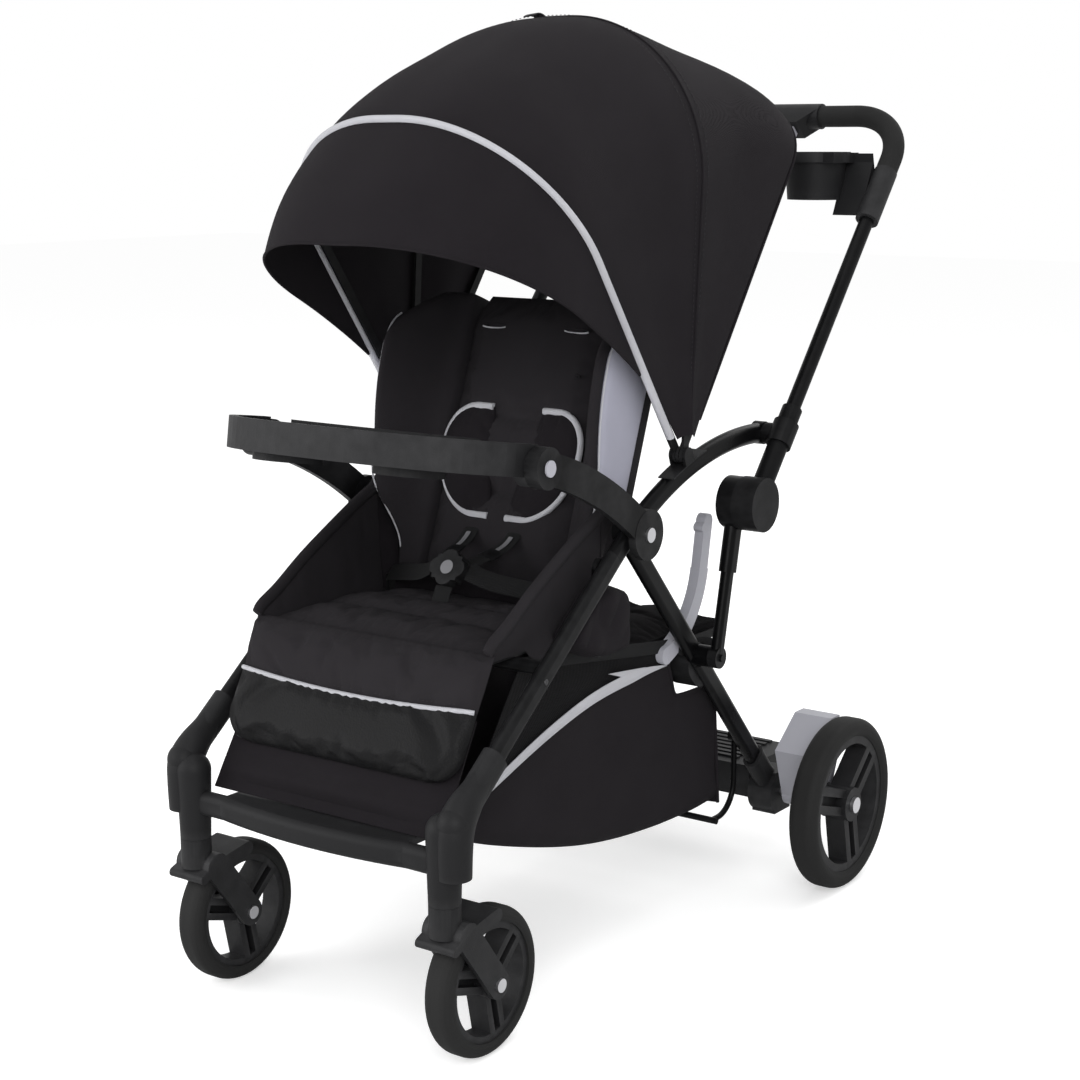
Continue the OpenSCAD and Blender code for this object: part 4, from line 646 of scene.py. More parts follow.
class Shape:
    """Mesh making shared by every sub-assembly."""

    CREASE: ClassVar[float] = math.radians(48)
    STITCH: ClassVar[float] = 0.36
    WAVES: ClassVar[int] = 7

    @classmethod
    def mesh(cls, name: str, points: Array, faces: list[tuple[int, ...]], finish: Finish) -> Piece:
        """Makes a smooth closed object with its faces turned outwards.

        Args:
            name: Piece name.
            points: Points in any grid shape, last axis x, y, z.
            faces: Faces as point numbers.
            finish: Its finish.

        Returns:
            The new object.
        """
        data = bpy.data.meshes.new(name)
        data.from_pydata(np.asarray(points).reshape(-1, 3).tolist(), [], faces)
        work = bmesh.new()
        work.from_mesh(data)
        bmesh.ops.recalc_face_normals(work, faces=work.faces)
        work.to_mesh(data)
        work.free()
        data.shade_smooth()
        data.set_sharp_from_angle(angle=cls.CREASE)
        data.materials.append(finish.build())
        piece = bpy.data.objects.new(name, data)
        bpy.context.scene.collection.objects.link(piece)
        LOG.info("%s: %d points, %s", name, len(data.vertices), finish.name)
        return piece

    @staticmethod
    def quads(rows: int, cols: int, base: int = 0, wrap: bool = False) -> list[tuple[int, ...]]:
        """Faces of a grid of points.

        Args:
            rows: Number of rows.
            cols: Points in a row.
            base: Number of the first point.
            wrap: Whether each row closes on itself.

        Returns:
            Four-cornered faces.
        """
        faces = []
        for i in range(rows - 1):
            for j in range(cols if wrap else cols - 1):
                a = base + i * cols + j
                b = base + i * cols + (j + 1) % cols
                faces.append((a, b, b + cols, a + cols))
        return faces

    @staticmethod
    def rim(rows: int, cols: int) -> list[int]:
        """Point numbers round the edge of a grid, in order."""
        first = list(range(cols))
        right = [i * cols + cols - 1 for i in range(1, rows)]
        last = [(rows - 1) * cols + j for j in range(cols - 2, -1, -1)]
        left = [i * cols for i in range(rows - 2, 0, -1)]
        return first + right + last + left

    @staticmethod
    def normals(points: Array) -> Array:
        """Unit normals of a grid of points."""
        across = np.cross(np.gradient(points, axis=0), np.gradient(points, axis=1))
        return across / np.maximum(np.linalg.norm(across, axis=2, keepdims=True), 1e-12)

    @classmethod
    def between(cls, name: str, top: Array, under: Array, finish: Finish) -> Piece:
        """Closes the room between two grids of the same size.

        Args:
            name: Piece name.
            top: One surface.
            under: The other surface.
            finish: Its finish.

        Returns:
            The new object.
        """
        rows, cols = top.shape[:2]
        count = rows * cols
        edge = cls.rim(rows, cols)
        faces = cls.quads(rows, cols) + cls.quads(rows, cols, count)
        for a, b in zip(edge, edge[1:] + edge[:1]):
            faces.append((a, b, b + count, a + count))
        return cls.mesh(name, np.concatenate([top.reshape(-1, 3), under.reshape(-1, 3)]), faces, finish)

    @classmethod
    def cloth(cls, name: str, points: Array, thick: float, finish: Finish) -> Piece:
        """Makes a thin closed sheet whose middle is a grid of points."""
        half = cls.normals(points) * thick / 2
        return cls.between(name, points + half, points - half, finish)

    @staticmethod
    def smooth(points: Sequence[Sequence[float]], count: int, closed: bool = False) -> Array:
        """Runs a smooth line through points.

        Args:
            points: Corner points.
            count: Points wanted on the line.
            closed: Whether it comes back to its start.

        Returns:
            The line's points.
        """
        knots = np.asarray(points, dtype=float)
        if closed:
            knots = np.concatenate([knots[-1:], knots, knots[:2]])
        else:
            knots = np.concatenate([2 * knots[:1] - knots[1:2], knots, 2 * knots[-1:] - knots[-2:-1]])
        spans = len(knots) - 3
        t = np.linspace(0, spans, count, endpoint=not closed)
        i = np.minimum(t.astype(int), spans - 1)
        f = (t - i)[:, None]
        a, b, c, d = knots[i], knots[i + 1], knots[i + 2], knots[i + 3]
        return 0.5 * (
            2 * b + (c - a) * f + (2 * a - 5 * b + 4 * c - d) * f**2 + (3 * b - a - 3 * c + d) * f**3
        )

    @staticmethod
    def ways(path: Array, closed: bool = False) -> Array:
        """Unit directions along a line."""
        along = np.gradient(path, axis=0)
        if closed:
            along = np.roll(path, -1, axis=0) - np.roll(path, 1, axis=0)
        return along / np.linalg.norm(along, axis=1, keepdims=True)

    @classmethod
    def tube(
        cls,
        name: str,
        path: Array,
        radius: float,
        finish: Finish,
        closed: bool = False,
        sides: int = 10,
        flat: float = 1.0,
        face: Place = (0.0, 0.0, 1.0),
    ) -> Piece:
        """Sweeps a round or flattened section along a line.

        Args:
            name: Piece name.
            path: Line to follow.
            radius: Half the section's width.
            finish: Its finish.
            closed: Whether the line is a loop.
            sides: Points round the section.
            flat: Thickness of the section over its width.
            face: Direction that the flat side looks in.

        Returns:
            The new object.
        """
        path = np.asarray(path, dtype=float)
        up = np.asarray(face, dtype=float)
        rings = []
        turn = np.linspace(0, 2 * math.pi, sides, endpoint=False)
        for point, way in zip(path, cls.ways(path, closed)):
            up = up - way * np.dot(up, way)
            up /= np.linalg.norm(up)
            side = np.cross(way, up)
            rings.append(point + radius * (np.cos(turn)[:, None] * side + flat * np.sin(turn)[:, None] * up))
        if not closed:
            return cls.loft(name, np.array(rings), finish)
        end = (len(path) - 1) * sides
        faces = cls.quads(len(path), sides, wrap=True)
        faces += [(end + j, end + (j + 1) % sides, (j + 1) % sides, j) for j in range(sides)]
        return cls.mesh(name, np.array(rings), faces, finish)

    @classmethod
    def web(cls, name: str, path: Array, half: float, flat: float, face: Place) -> Piece:
        """Makes a flat strap of webbing along a line; see tube."""
        return cls.tube(name, path, half, Finishes.WEBBING, sides=12, flat=flat, face=face)

    @classmethod
    def loft(cls, name: str, rings: Array, finish: Finish) -> Piece:
        """Skins closed rings of the same count and caps both ends."""
        rows, cols = rings.shape[:2]
        faces = cls.quads(rows, cols, wrap=True)
        faces += [tuple(range(cols)), tuple((rows - 1) * cols + j for j in range(cols))]
        return cls.mesh(name, rings, faces, finish)

    @classmethod
    def stitches(
        cls, name: str, path: Array, finish: Finish, pitch: float = 0.0062, bulk: float = 0.0006
    ) -> Piece:
        """Lays a row of sewn stitches along a line.

        Args:
            name: Piece name.
            path: Line to follow.
            finish: Thread finish.
            pitch: Distance from stitch to stitch.
            bulk: Half the thread's thickness.

        Returns:
            The new object.
        """
        path = np.asarray(path, dtype=float)
        run = np.concatenate([[0.0], np.cumsum(np.linalg.norm(np.diff(path, axis=0), axis=1))])
        reach = cls.STITCH * pitch
        points, faces = [], []
        for place in np.arange(pitch, run[-1] - pitch, pitch):
            ends = []
            for at in (place - reach, place + reach):
                ends.append(np.array([np.interp(at, run, path[:, k]) for k in range(3)]))
            way = ends[1] - ends[0]
            way /= np.linalg.norm(way)
            side = np.cross(way, (0.31, 0.83, 0.47))
            side /= np.linalg.norm(side)
            up = np.cross(side, way)
            middle = (ends[0] + ends[1]) / 2
            base = len(points)
            points += [ends[0], *(middle + bulk * d for d in (side, up, -side, -up)), ends[1]]
            for j in range(4):
                k = (j + 1) % 4
                faces += [(base, base + 1 + j, base + 1 + k), (base + 5, base + 1 + k, base + 1 + j)]
        return cls.mesh(name, np.array(points), faces, finish)

    @classmethod
    def lathe(
        cls,
        name: str,
        outline: Sequence[tuple[float, float]],
        at: Place,
        along: Place,
        finish: Finish,
        sides: int = 28,
    ) -> Piece:
        """Turns an outline of (out, up) points about an axis.

        Args:
            name: Piece name.
            outline: Outline from the foot to the tip.
            at: Foot of the axis.
            along: Direction of the axis.
            finish: Its finish.
            sides: Points round the axis.

        Returns:
            The new object.
        """
        axis = Vector(along).normalized()
        spin = axis.to_track_quat("Z", "Y")
        rings = []
        for out, up in outline:
            ring = []
            for j in range(sides):
                a = 2 * math.pi * j / sides
                ring.append(Vector(at) + spin @ Vector((out * math.cos(a), out * math.sin(a), up)))
            rings.append(ring)
        return cls.loft(name, np.array(rings), finish)

    @classmethod
    def ripple(cls, points: Array, seed: int, scale: float, height: float) -> Array:
        """Gentle seeded unevenness of cloth.

        Args:
            points: Points to read.
            seed: Seed of the draw.
            scale: Size of a ripple in metres.
            height: Largest height.

        Returns:
            One height for each point.
        """
        draw = np.random.default_rng(seed)
        total = np.zeros(points.shape[:-1])
        for _ in range(cls.WAVES):
            way = draw.normal(size=3)
            way *= 2 * math.pi / scale * draw.uniform(0.6, 1.6) / np.linalg.norm(way)
            total += np.sin(points @ way + draw.uniform(0, 2 * math.pi))
        return height * total / cls.WAVES

    @staticmethod
    def size(points: Array) -> tuple[float, float, float]:
        """Width, length and area of a grid of points; the mean width where it tapers much."""
        wide = np.linalg.norm(np.diff(points, axis=1), axis=2).sum(axis=1)
        long = np.linalg.norm(np.diff(points, axis=0), axis=2).sum(axis=0)
        a = points[1:, 1:] - points[:-1, :-1]
        b = points[1:, :-1] - points[:-1, 1:]
        area = float(np.linalg.norm(np.cross(a, b), axis=2).sum() / 2)
        full = wide.max() if area > 0.35 * wide.max() * long.max() else wide.mean()
        return float(full), float(long.max()), area

    @classmethod
    def sheet(cls, piece: Piece, points: Array, held: str, rests_on: Iterable[str]) -> None:
        """Measures the width, length and area of a piece's grid; nothing is done with them."""
        wide, long, area = cls.size(points)


def grid(rows: int, cols: int) -> tuple[Array, Array]:
    """Even shares 0 to 1 down and across a grid."""
    return np.meshgrid(np.linspace(0, 1, rows), np.linspace(0, 1, cols), indexing="ij")


def crown(t: Array, power: float) -> Array:
    """One in the middle of 0 to 1, falling to zero at both ends."""
    return 1 - np.abs(2 * t - 1) ** power


def dip(t: Array, at: float, wide: float) -> Array:
    """Narrow dip of unit depth."""
    return np.exp(-(((t - at) / wide) ** 2))


def dips(t: Array, places: Iterable[float], wide: float) -> Array:
    """Narrow dips of unit depth at several places."""
    return sum(dip(t, at, wide) for at in places)


def near(t: Array, places: Iterable[float], half: float) -> Array:
    """Flags of the points that lie closer than a distance to any of several places."""
    return np.any([np.abs(t - at) < half for at in places], axis=0)


def edges(t: Array) -> Array:
    """Flags of the points round the edge of a grid."""
    held = np.zeros(t.shape, dtype=bool)
    held[[0, -1]] = True
    held[:, [0, -1]] = True
    return held


def ease(t: Array) -> Array:
    """Zero to one with level ends."""
    return t * t * (3 - 2 * t)


@dataclass
class Puff:
    """Blows up a padded piece with a short cloth simulation."""

    pressure: float = 4.0
    cap: float = 0.006
    frames: int = 20
    slack: float = 0.03

    def run(self, piece: Piece, held: Array) -> None:
        """Swells the first grid of a piece made by Shape.between; the second stays as it is.

        Args:
            piece: The piece, changed in place.
            held: One flag for each point of the first grid that a seam holds.
        """
        held = np.concatenate([held.ravel(), np.ones(held.size, dtype=bool)])
        data = piece.data
        start = np.empty(len(data.vertices) * 3)
        data.vertices.foreach_get("co", start)
        start = start.reshape(-1, 3)
        seams = piece.vertex_groups.new(name="seams")
        seams.add([int(i) for i in np.flatnonzero(held)], 1.0, "REPLACE")
        cloth = piece.modifiers.new("puff", "CLOTH")
        cloth.settings.quality = 5
        cloth.settings.mass = 0.15
        cloth.settings.tension_stiffness = 14
        cloth.settings.compression_stiffness = 14
        cloth.settings.shear_stiffness = 6
        cloth.settings.bending_stiffness = 0.6
        cloth.settings.use_pressure = True
        cloth.settings.uniform_pressure_force = self.pressure
        cloth.settings.shrink_min = -self.slack
        cloth.settings.effector_weights.gravity = 0
        cloth.settings.vertex_group_mass = "seams"
        cloth.collision_settings.use_collision = False
        cloth.collision_settings.use_self_collision = False
        cloth.point_cache.frame_start = 1
        cloth.point_cache.frame_end = self.frames
        scene = bpy.context.scene
        for step in range(1, self.frames + 1):
            scene.frame_set(step)
        blown = piece.evaluated_get(bpy.context.evaluated_depsgraph_get())
        after = np.empty(len(data.vertices) * 3)
        blown.data.vertices.foreach_get("co", after)
        move = np.nan_to_num(after.reshape(-1, 3) - start)
        length = np.linalg.norm(move, axis=1, keepdims=True)
        move *= np.minimum(1.0, self.cap / np.maximum(length, 1e-9))
        piece.modifiers.remove(cloth)
        piece.vertex_groups.clear()
        data.vertices.foreach_set("co", (start + move).ravel())
        data.update()
        scene.frame_set(1)
        LOG.info("%s: puffed by up to %.1f mm", piece.name, 1000 * float(np.linalg.norm(move, axis=1).max()))


@dataclass(frozen=True)
class Hoop:
    """One canopy bow: half width, length, corner radius and angle."""

    wide: float | Array
    long: float | Array
    corner: float | Array
    angle: float


@dataclass
class Canopy:
    """Three bows' cloth: rear panel, front panel, visor and their trim."""

    pivot: tuple[float, float] = (-0.04528, 0.64155)
    rear: Hoop = Hoop(0.2107, 0.522, 0.0906, 54.0)
    mid: Hoop = Hoop(0.216, 0.527, 0.20088, 86.0)
    front: Hoop = Hoop(0.2055, 0.497, 0.19112, 126.0)
    foot: float = 0.026
    lift: float = 0.0032
    cloth: float = 0.0012
    sag: float = 0.009
    flare: float = 0.004
    blend_half: float = 0.1
    clear: float = 0.0078
    visor_spread: float = 20.0
    visor_dip: float = 0.05
    piping_half: float = 0.0054
    seam_half: float = 0.0016
    stitch_turn: float = 2.2
    patch: float = 0.0016

    def line(
        self,
        v: Array,
        hoop: Hoop,
        out: float | Array = 0.0,
        angle: float | Array | None = None,
    ) -> Array:
        """Places along a bow.

        Args:
            v: Share from the left foot to the right foot.
            hoop: The bow.
            out: Distance outside it.
            angle: Angle in degrees, or the bow's own.

        Returns:
            Points in the part's frame.
        """
        wide, long, corner = hoop.wide + out, hoop.long + out, hoop.corner + out
        side = long - corner - self.foot
        arc = corner * math.pi / 2
        top = 2 * (wide - corner)
        d = np.minimum(v, 1 - v) * (2 * side + 2 * arc + top)
        turn = np.clip((d - side) / corner, 0, math.pi / 2)
        x = wide - corner + corner * np.cos(turn) - np.maximum(d - side - arc, 0)
        r = np.where(d < side, self.foot + d, long - corner + corner * np.sin(turn))
        x = np.where(v > 0.5, -x, x)
        a = np.radians(hoop.angle if angle is None else angle)
        return np.stack([x, self.pivot[0] + r * np.cos(a), self.pivot[1] + r * np.sin(a)], axis=-1)

    def skin(self, a: Hoop, b: Hoop, seed: int, rows: int = 21, cols: int = 121) -> Array:
        """Cloth stretched from one bow to the next.

        Args:
            a: First bow.
            b: Second bow.
            seed: Seed of its unevenness.
            rows: Points from bow to bow.
            cols: Points along a bow.

        Returns:
            Points in the part's frame.
        """
        u, v = grid(rows, cols)
        flare = self.flare * np.abs(2 * v - 1) ** 12
        out = self.lift + flare - self.sag * np.sin(math.pi * u) ** 2 * crown(v, 4)
        wide = a.wide + (b.wide - a.wide) * u + out
        long = a.long + (b.long - a.long) * u + out
        corner = a.corner + (b.corner - a.corner) * ease(u) + out
        angle = a.angle + (b.angle - a.angle) * u
        points = self.line(v, Hoop(wide, long, corner, 0.0), 0.0, angle)
        crease = Shape.ripple(points, seed, 0.16, 0.0022) * np.sin(math.pi * u)
        return points + Shape.normals(points) * crease[..., None]

    def visor(self, rows: int = 15, cols: int = 101) -> Array:
        """Visor from the front bow to its hem, longest in the middle."""
        u, v = grid(rows, cols)
        share = 0.1 + 0.8 * v
        dipped = 1 - self.visor_dip * u**2
        hoop = Hoop(
            self.front.wide + self.lift, self.front.long * dipped + self.lift, self.front.corner * dipped, 0.0
        )
        spread = self.visor_spread * np.sin(math.pi * (0.03 + 0.94 * v)) ** 0.55
        points = self.line(share, hoop, 0.0, self.front.angle + 0.05 + u * spread)
        wave = Shape.ripple(points, 5, 0.12, 0.0016) * u
        return points + Shape.normals(points) * wave[..., None]

    def tie(self, piece: Piece, a: Hoop, b: Hoop, first: Body, last: Body) -> None:
        """Bakes the piece's transform into its mesh."""
        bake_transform(piece)

    def build(self) -> None:
        """Makes the cloth, its trim, the crown tab and the rear flap."""
        panels = (
            ("rear", self.rear, self.mid, 3, ("bow_rear", "bow_mid"), (Body.BOW_REAR, Body.BOW_MID)),
            ("front", self.mid, self.front, 4, ("bow_mid", "bow_front"), (Body.BOW_MID, Body.BOW_FRONT)),
        )
        for name, a, b, seed, bows, bodies in panels:
            points = self.skin(a, b, seed)
            panel = Shape.cloth(f"canopy_{name}_cloth", points, self.cloth, Finishes.CLOTH)
            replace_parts(panel, f"canopy_{name}_panel")
            Shape.sheet(panel, points, "stretched", bows)
            self.tie(panel, a, b, *bodies)
        points = self.visor()
        visor = Shape.cloth("canopy_visor_cloth", points, self.cloth, Finishes.CLOTH)
        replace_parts(visor, "canopy_visor")
        Shape.sheet(visor, points, "stretched", ("bow_front",))
        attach(visor, Body.BOW_FRONT.value)
        hem = Shape.tube("canopy_visor_hem", points[-1], 0.0018, Finishes.CLOTH, sides=8)
        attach(hem, Body.BOW_FRONT.value)
        self.trim()
        self.tab()
        self.flap()

    def beside(self, v: Array, hoop: Hoop, out: float, shift: float) -> Array:
        """Places along a bow, moved towards larger angles so that folded bows pass each other."""
        a = math.radians(hoop.angle)
        return self.line(v, hoop, out) + shift * np.array([0.0, -math.sin(a), math.cos(a)])

    def trim(self) -> None:
        """Makes the grey piping, the middle seam with its stitches and the rear hem."""
        v = np.linspace(0.0, 1.0, 161)
        edge = self.beside(np.linspace(0.008, 0.992, 161), self.front, 0.0046, self.clear)
        piping = Shape.tube("canopy_piping", edge, self.piping_half, Finishes.TRIM, sides=12, flat=0.8)
        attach(piping, Body.BOW_FRONT.value)
        edge = self.line(v, self.mid, 0.0042)
        seam = Shape.tube("canopy_mid_seam", edge, self.seam_half, Finishes.CLOTH, sides=8)
        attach(seam, Body.BOW_MID.value)
        edge = self.beside(np.linspace(0.02, 0.98, 161), self.rear, 0.003, -0.6 * self.clear)
        hem = Shape.tube("canopy_rear_hem", edge, 0.0019, Finishes.CLOTH, sides=8)
        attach(hem, Body.BOW_REAR.value)
        for name, turn in (("front", self.stitch_turn), ("rear", -self.stitch_turn)):
            run = self.line(v[4:-4], self.mid, 0.0039, self.mid.angle + turn)
            row = Shape.stitches(f"canopy_stitch_{name}", run, Finishes.THREAD)
            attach(row, Body.BOW_MID.value)

    def tab(self) -> None:
        """Makes the small tab on the crown, over the middle bow."""
        u, w = grid(5, 9)
        angle = self.mid.angle + 1.6 - 3.2 * w
        points = self.line(0.529 + 0.006 * (u - 0.5) * 2, self.mid, 0.006 + 0.004 * crown(w, 2), angle)
        piece = Shape.cloth("canopy_crown_tab", points, self.patch, Finishes.BINDING)
        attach(piece, Body.BOW_MID.value)

    def flap(self) -> None:
        """Makes the flap on the rear panel."""
        u, w = grid(9, 15)
        lift = 0.0015 + 0.009 * u**1.5
        angle = self.rear.angle + 12.0 - 6.5 * u
        points = self.line(0.455 + 0.045 * w, Hoop(0.2115, 0.5205, 0.12, 0.0), lift, angle)
        piece = Shape.cloth("canopy_rear_flap", points, self.patch, Finishes.CLOTH)
        self.tie(piece, self.rear, self.mid, Body.BOW_REAR, Body.BOW_MID)


@dataclass
class Backrest:
    """Back cushion: middle panel, two wings, grey outer sides and strap slots."""

    pivot: tuple[float, float] = (-0.153, 0.470)
    lean: float = math.radians(20.0)
    high: float = 0.372
    foot: float = 0.006
    core: float = 0.108
    half: float = 0.171
    foot_half: float = 0.138
    front: float = 0.0164
    rear: float = 0.0152
    reach: float = 0.096
    peak: float = 0.74
    slot_heights: tuple[float, ...] = (0.222, 0.271, 0.329)
    slot_x: float = 0.064
    slot_half: float = 0.019
    seams: tuple[float, ...] = (0.3, 0.56)
    tuck: tuple[tuple[float, float], ...] = (
        (0.0, 0.004),
        (0.32, 0.004),
        (0.4, 0.0125),
        (0.78, 0.0125),
        (0.84, 0.006),
        (1.0, 0.006),
    )

    def place(self, x: float | Array, ahead: float | Array, high: float | Array) -> Array:
        """Turns backrest places into the part's frame.

        Args:
            x: Places across.
            ahead: Distance in front of the hinge line, square to the backrest.
            high: Height up the backrest.

        Returns:
            Points in the part's frame.
        """
        y = self.pivot[0] - ahead * math.cos(self.lean) + high * math.sin(self.lean)
        z = self.pivot[1] + ahead * math.sin(self.lean) + high * math.cos(self.lean)
        return np.stack(np.broadcast_arrays(x, y, z), axis=-1)

    def level(self, share: float | Array) -> float | Array:
        """Height up the backrest at a share of the cushion's height."""
        return self.foot + share * (self.high - self.foot)

    def flank(self, share: float | Array) -> Array:
        """Half width at a share of the height, drawn in at the foot."""
        rise = ease(np.clip((share - 0.08) / 0.22, 0, 1))
        return self.foot_half + (self.half + 0.002 - self.foot_half) * rise

    def wing(self, share: Array) -> Array:
        """Forward reach of the wings at a share of the height."""
        low = np.sin(math.pi / 2 * np.minimum(share / self.peak, 1))
        top = np.cos(math.pi / 2 * np.maximum(share - self.peak, 0) / (1 - self.peak))
        return self.reach * np.where(share < self.peak, low, top)

    def build(self) -> None:
        """Makes every piece and lets it ride on the backrest."""
        pieces = [self.middle()]
        for name, side in SIDES:
            pieces += self.side(name, side)
            pieces += self.slots(name, side)
        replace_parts(pieces[0], "backrest_pad")
        for piece in pieces:
            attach(piece, Body.BACKREST.value)

    def middle(self) -> Piece:
        """Makes the crowned middle panel."""
        u, v = grid(61, 41)
        round_off = 0.16 * np.clip((u - 0.86) / 0.14, 0, 1) ** 2
        x = (2 * v - 1) * (self.core - 0.0015) * (1 - round_off)
        high = self.level(u)
        puff = crown(u, 10) * crown(v, 8)
        seam = 0.0045 * dips(u, self.seams, 0.012) * crown(v, 12)
        front = self.place(x, self.front - 0.012 + 0.014 * puff - seam, high)
        rear = self.place(x, -self.rear + 0.002 * (1 - puff), high)
        # Cloth painted lighter: painted light for the shade under the canopy.
        piece = Shape.between("backrest_middle", front, rear, Finishes.CLOTH_SEAT_LIT)
        Puff(cap=0.005).run(piece, edges(u) | near(u, self.seams, 0.009))
        return piece

    def ring(self, share: float, side: float) -> Array:
        """One level section of a wing, as points round it."""
        reach = float(self.wing(np.array(share)))
        top = self.front + reach
        back = 0.008 * math.sin(math.pi * min(1.0, 0.12 + 0.88 * share)) ** 0.5
        knots = [
            (self.core, self.front - 0.001),
            (self.core + 0.018, self.front + 0.2 * reach + 0.003),
            (self.half - 0.022, self.front + 0.72 * reach + 0.004),
            (self.half - 0.009, top - 0.002),
            (self.half - 0.001, top - 0.013 * reach / self.reach),
            (self.half + 0.0015, self.front + 0.45 * reach),
            (self.half + 0.001, self.front),
            (self.half - 0.002, -self.rear),
            (self.half - 0.018, -self.rear - back),
            (self.core + 0.02, -self.rear - 0.6 * back),
            (self.core, -self.rear),
        ]
        shrink = 0.2 * np.clip((share - 0.8) / 0.2, 0, 1) ** 2
        line = Shape.smooth(knots, 66, closed=True)
        x = self.core + (line[:, 0] - self.core) * (1 - shrink)
        return self.place(side * np.minimum(x, self.flank(share)), line[:, 1], self.level(share))

    def side(self, name: str, side: float) -> list[Piece]:
        """Makes one wing, its grey outer cover and its piping."""
        shares = np.concatenate([[0.0, 0.006], np.linspace(0.02, 0.98, 56), [0.994, 1.0]])
        rings = np.array([self.ring(s, side) for s in shares])
        ends = rings.mean(axis=1, keepdims=True)
        for row, keep in ((0, 0.8), (-1, 0.8)):
            rings[row] = ends[row] + (rings[row] - ends[row]) * keep
        # Cloth painted lighter: painted light for the shade under the canopy.
        wing = Shape.loft(f"backrest_wing_{name}", rings, Finishes.CLOTH_SEAT_LIT)
        u, v = grid(27, 21)
        share = 0.27 + 0.56 * u
        high = self.level(share)
        ahead = self.front + self.wing(share) - 0.013
        ahead = ahead + (0.006 - ahead) * v
        puff = np.sqrt(np.clip(crown(u, 4) * crown(v, 4), 0, 1))
        outer = self.place(side * (self.half + 0.0012 + 0.0042 * puff), ahead, high)
        inner = self.place(side * (self.half - 0.004), ahead, high)
        cover = Shape.between(f"backrest_cover_{name}", outer, inner, Finishes.CLOTH_GREY)
        line = np.linspace(0.05, 0.87, 70)
        ahead = self.front + self.wing(line) - np.interp(line, *zip(*self.tuck))
        edge = self.place(side * (self.flank(line) - 0.0002), ahead, self.level(line))
        piping = Shape.tube(f"backrest_piping_{name}", edge, 0.0012, Finishes.TRIM, sides=8)
        return [wing, cover, piping]

    def slots(self, name: str, side: float) -> list[Piece]:
        """Makes the bound slots for the shoulder straps on one side, each with a dark sheet of painted shade
        inside, and a painted highlight along the top slot's lower lip.
        """
        made = []
        for number, high in enumerate(self.slot_heights):
            turn = np.linspace(0, 2 * math.pi, 40, endpoint=False)
            x = side * self.slot_x + self.slot_half * np.cos(turn)
            up = high + 0.0026 * np.sin(turn)
            loop = self.place(x, self.front + 0.0052, up)
            label = f"strap_slot_{name}_{number}"
            made.append(Shape.tube(label, loop, 0.001, Finishes.BINDING, closed=True, sides=8))
            # A light grey line along the top slot's lower lip only: a painted highlight.
            if high == max(self.slot_heights):
                made.append(Shape.tube(f"strap_lip_highlight_{name}", loop[22:39], 0.0012, Finishes.TRIM, sides=8))
            # A thin dark sheet across each slot: painted shade for the inside of the slot.
            u, v = grid(3, 13)
            slot_shade = self.place(
                side * self.slot_x + (2 * v - 1) * (self.slot_half - 0.001),
                self.front + 0.0045,
                high + (2 * u - 1) * 0.002 * np.sqrt(np.clip(crown(v, 2), 0.02, 1)),
            )
            made.append(Shape.cloth(f"strap_slot_shade_{name}_{number}", slot_shade, 0.0008, Finishes.CLOTH_SHADED))
        return made


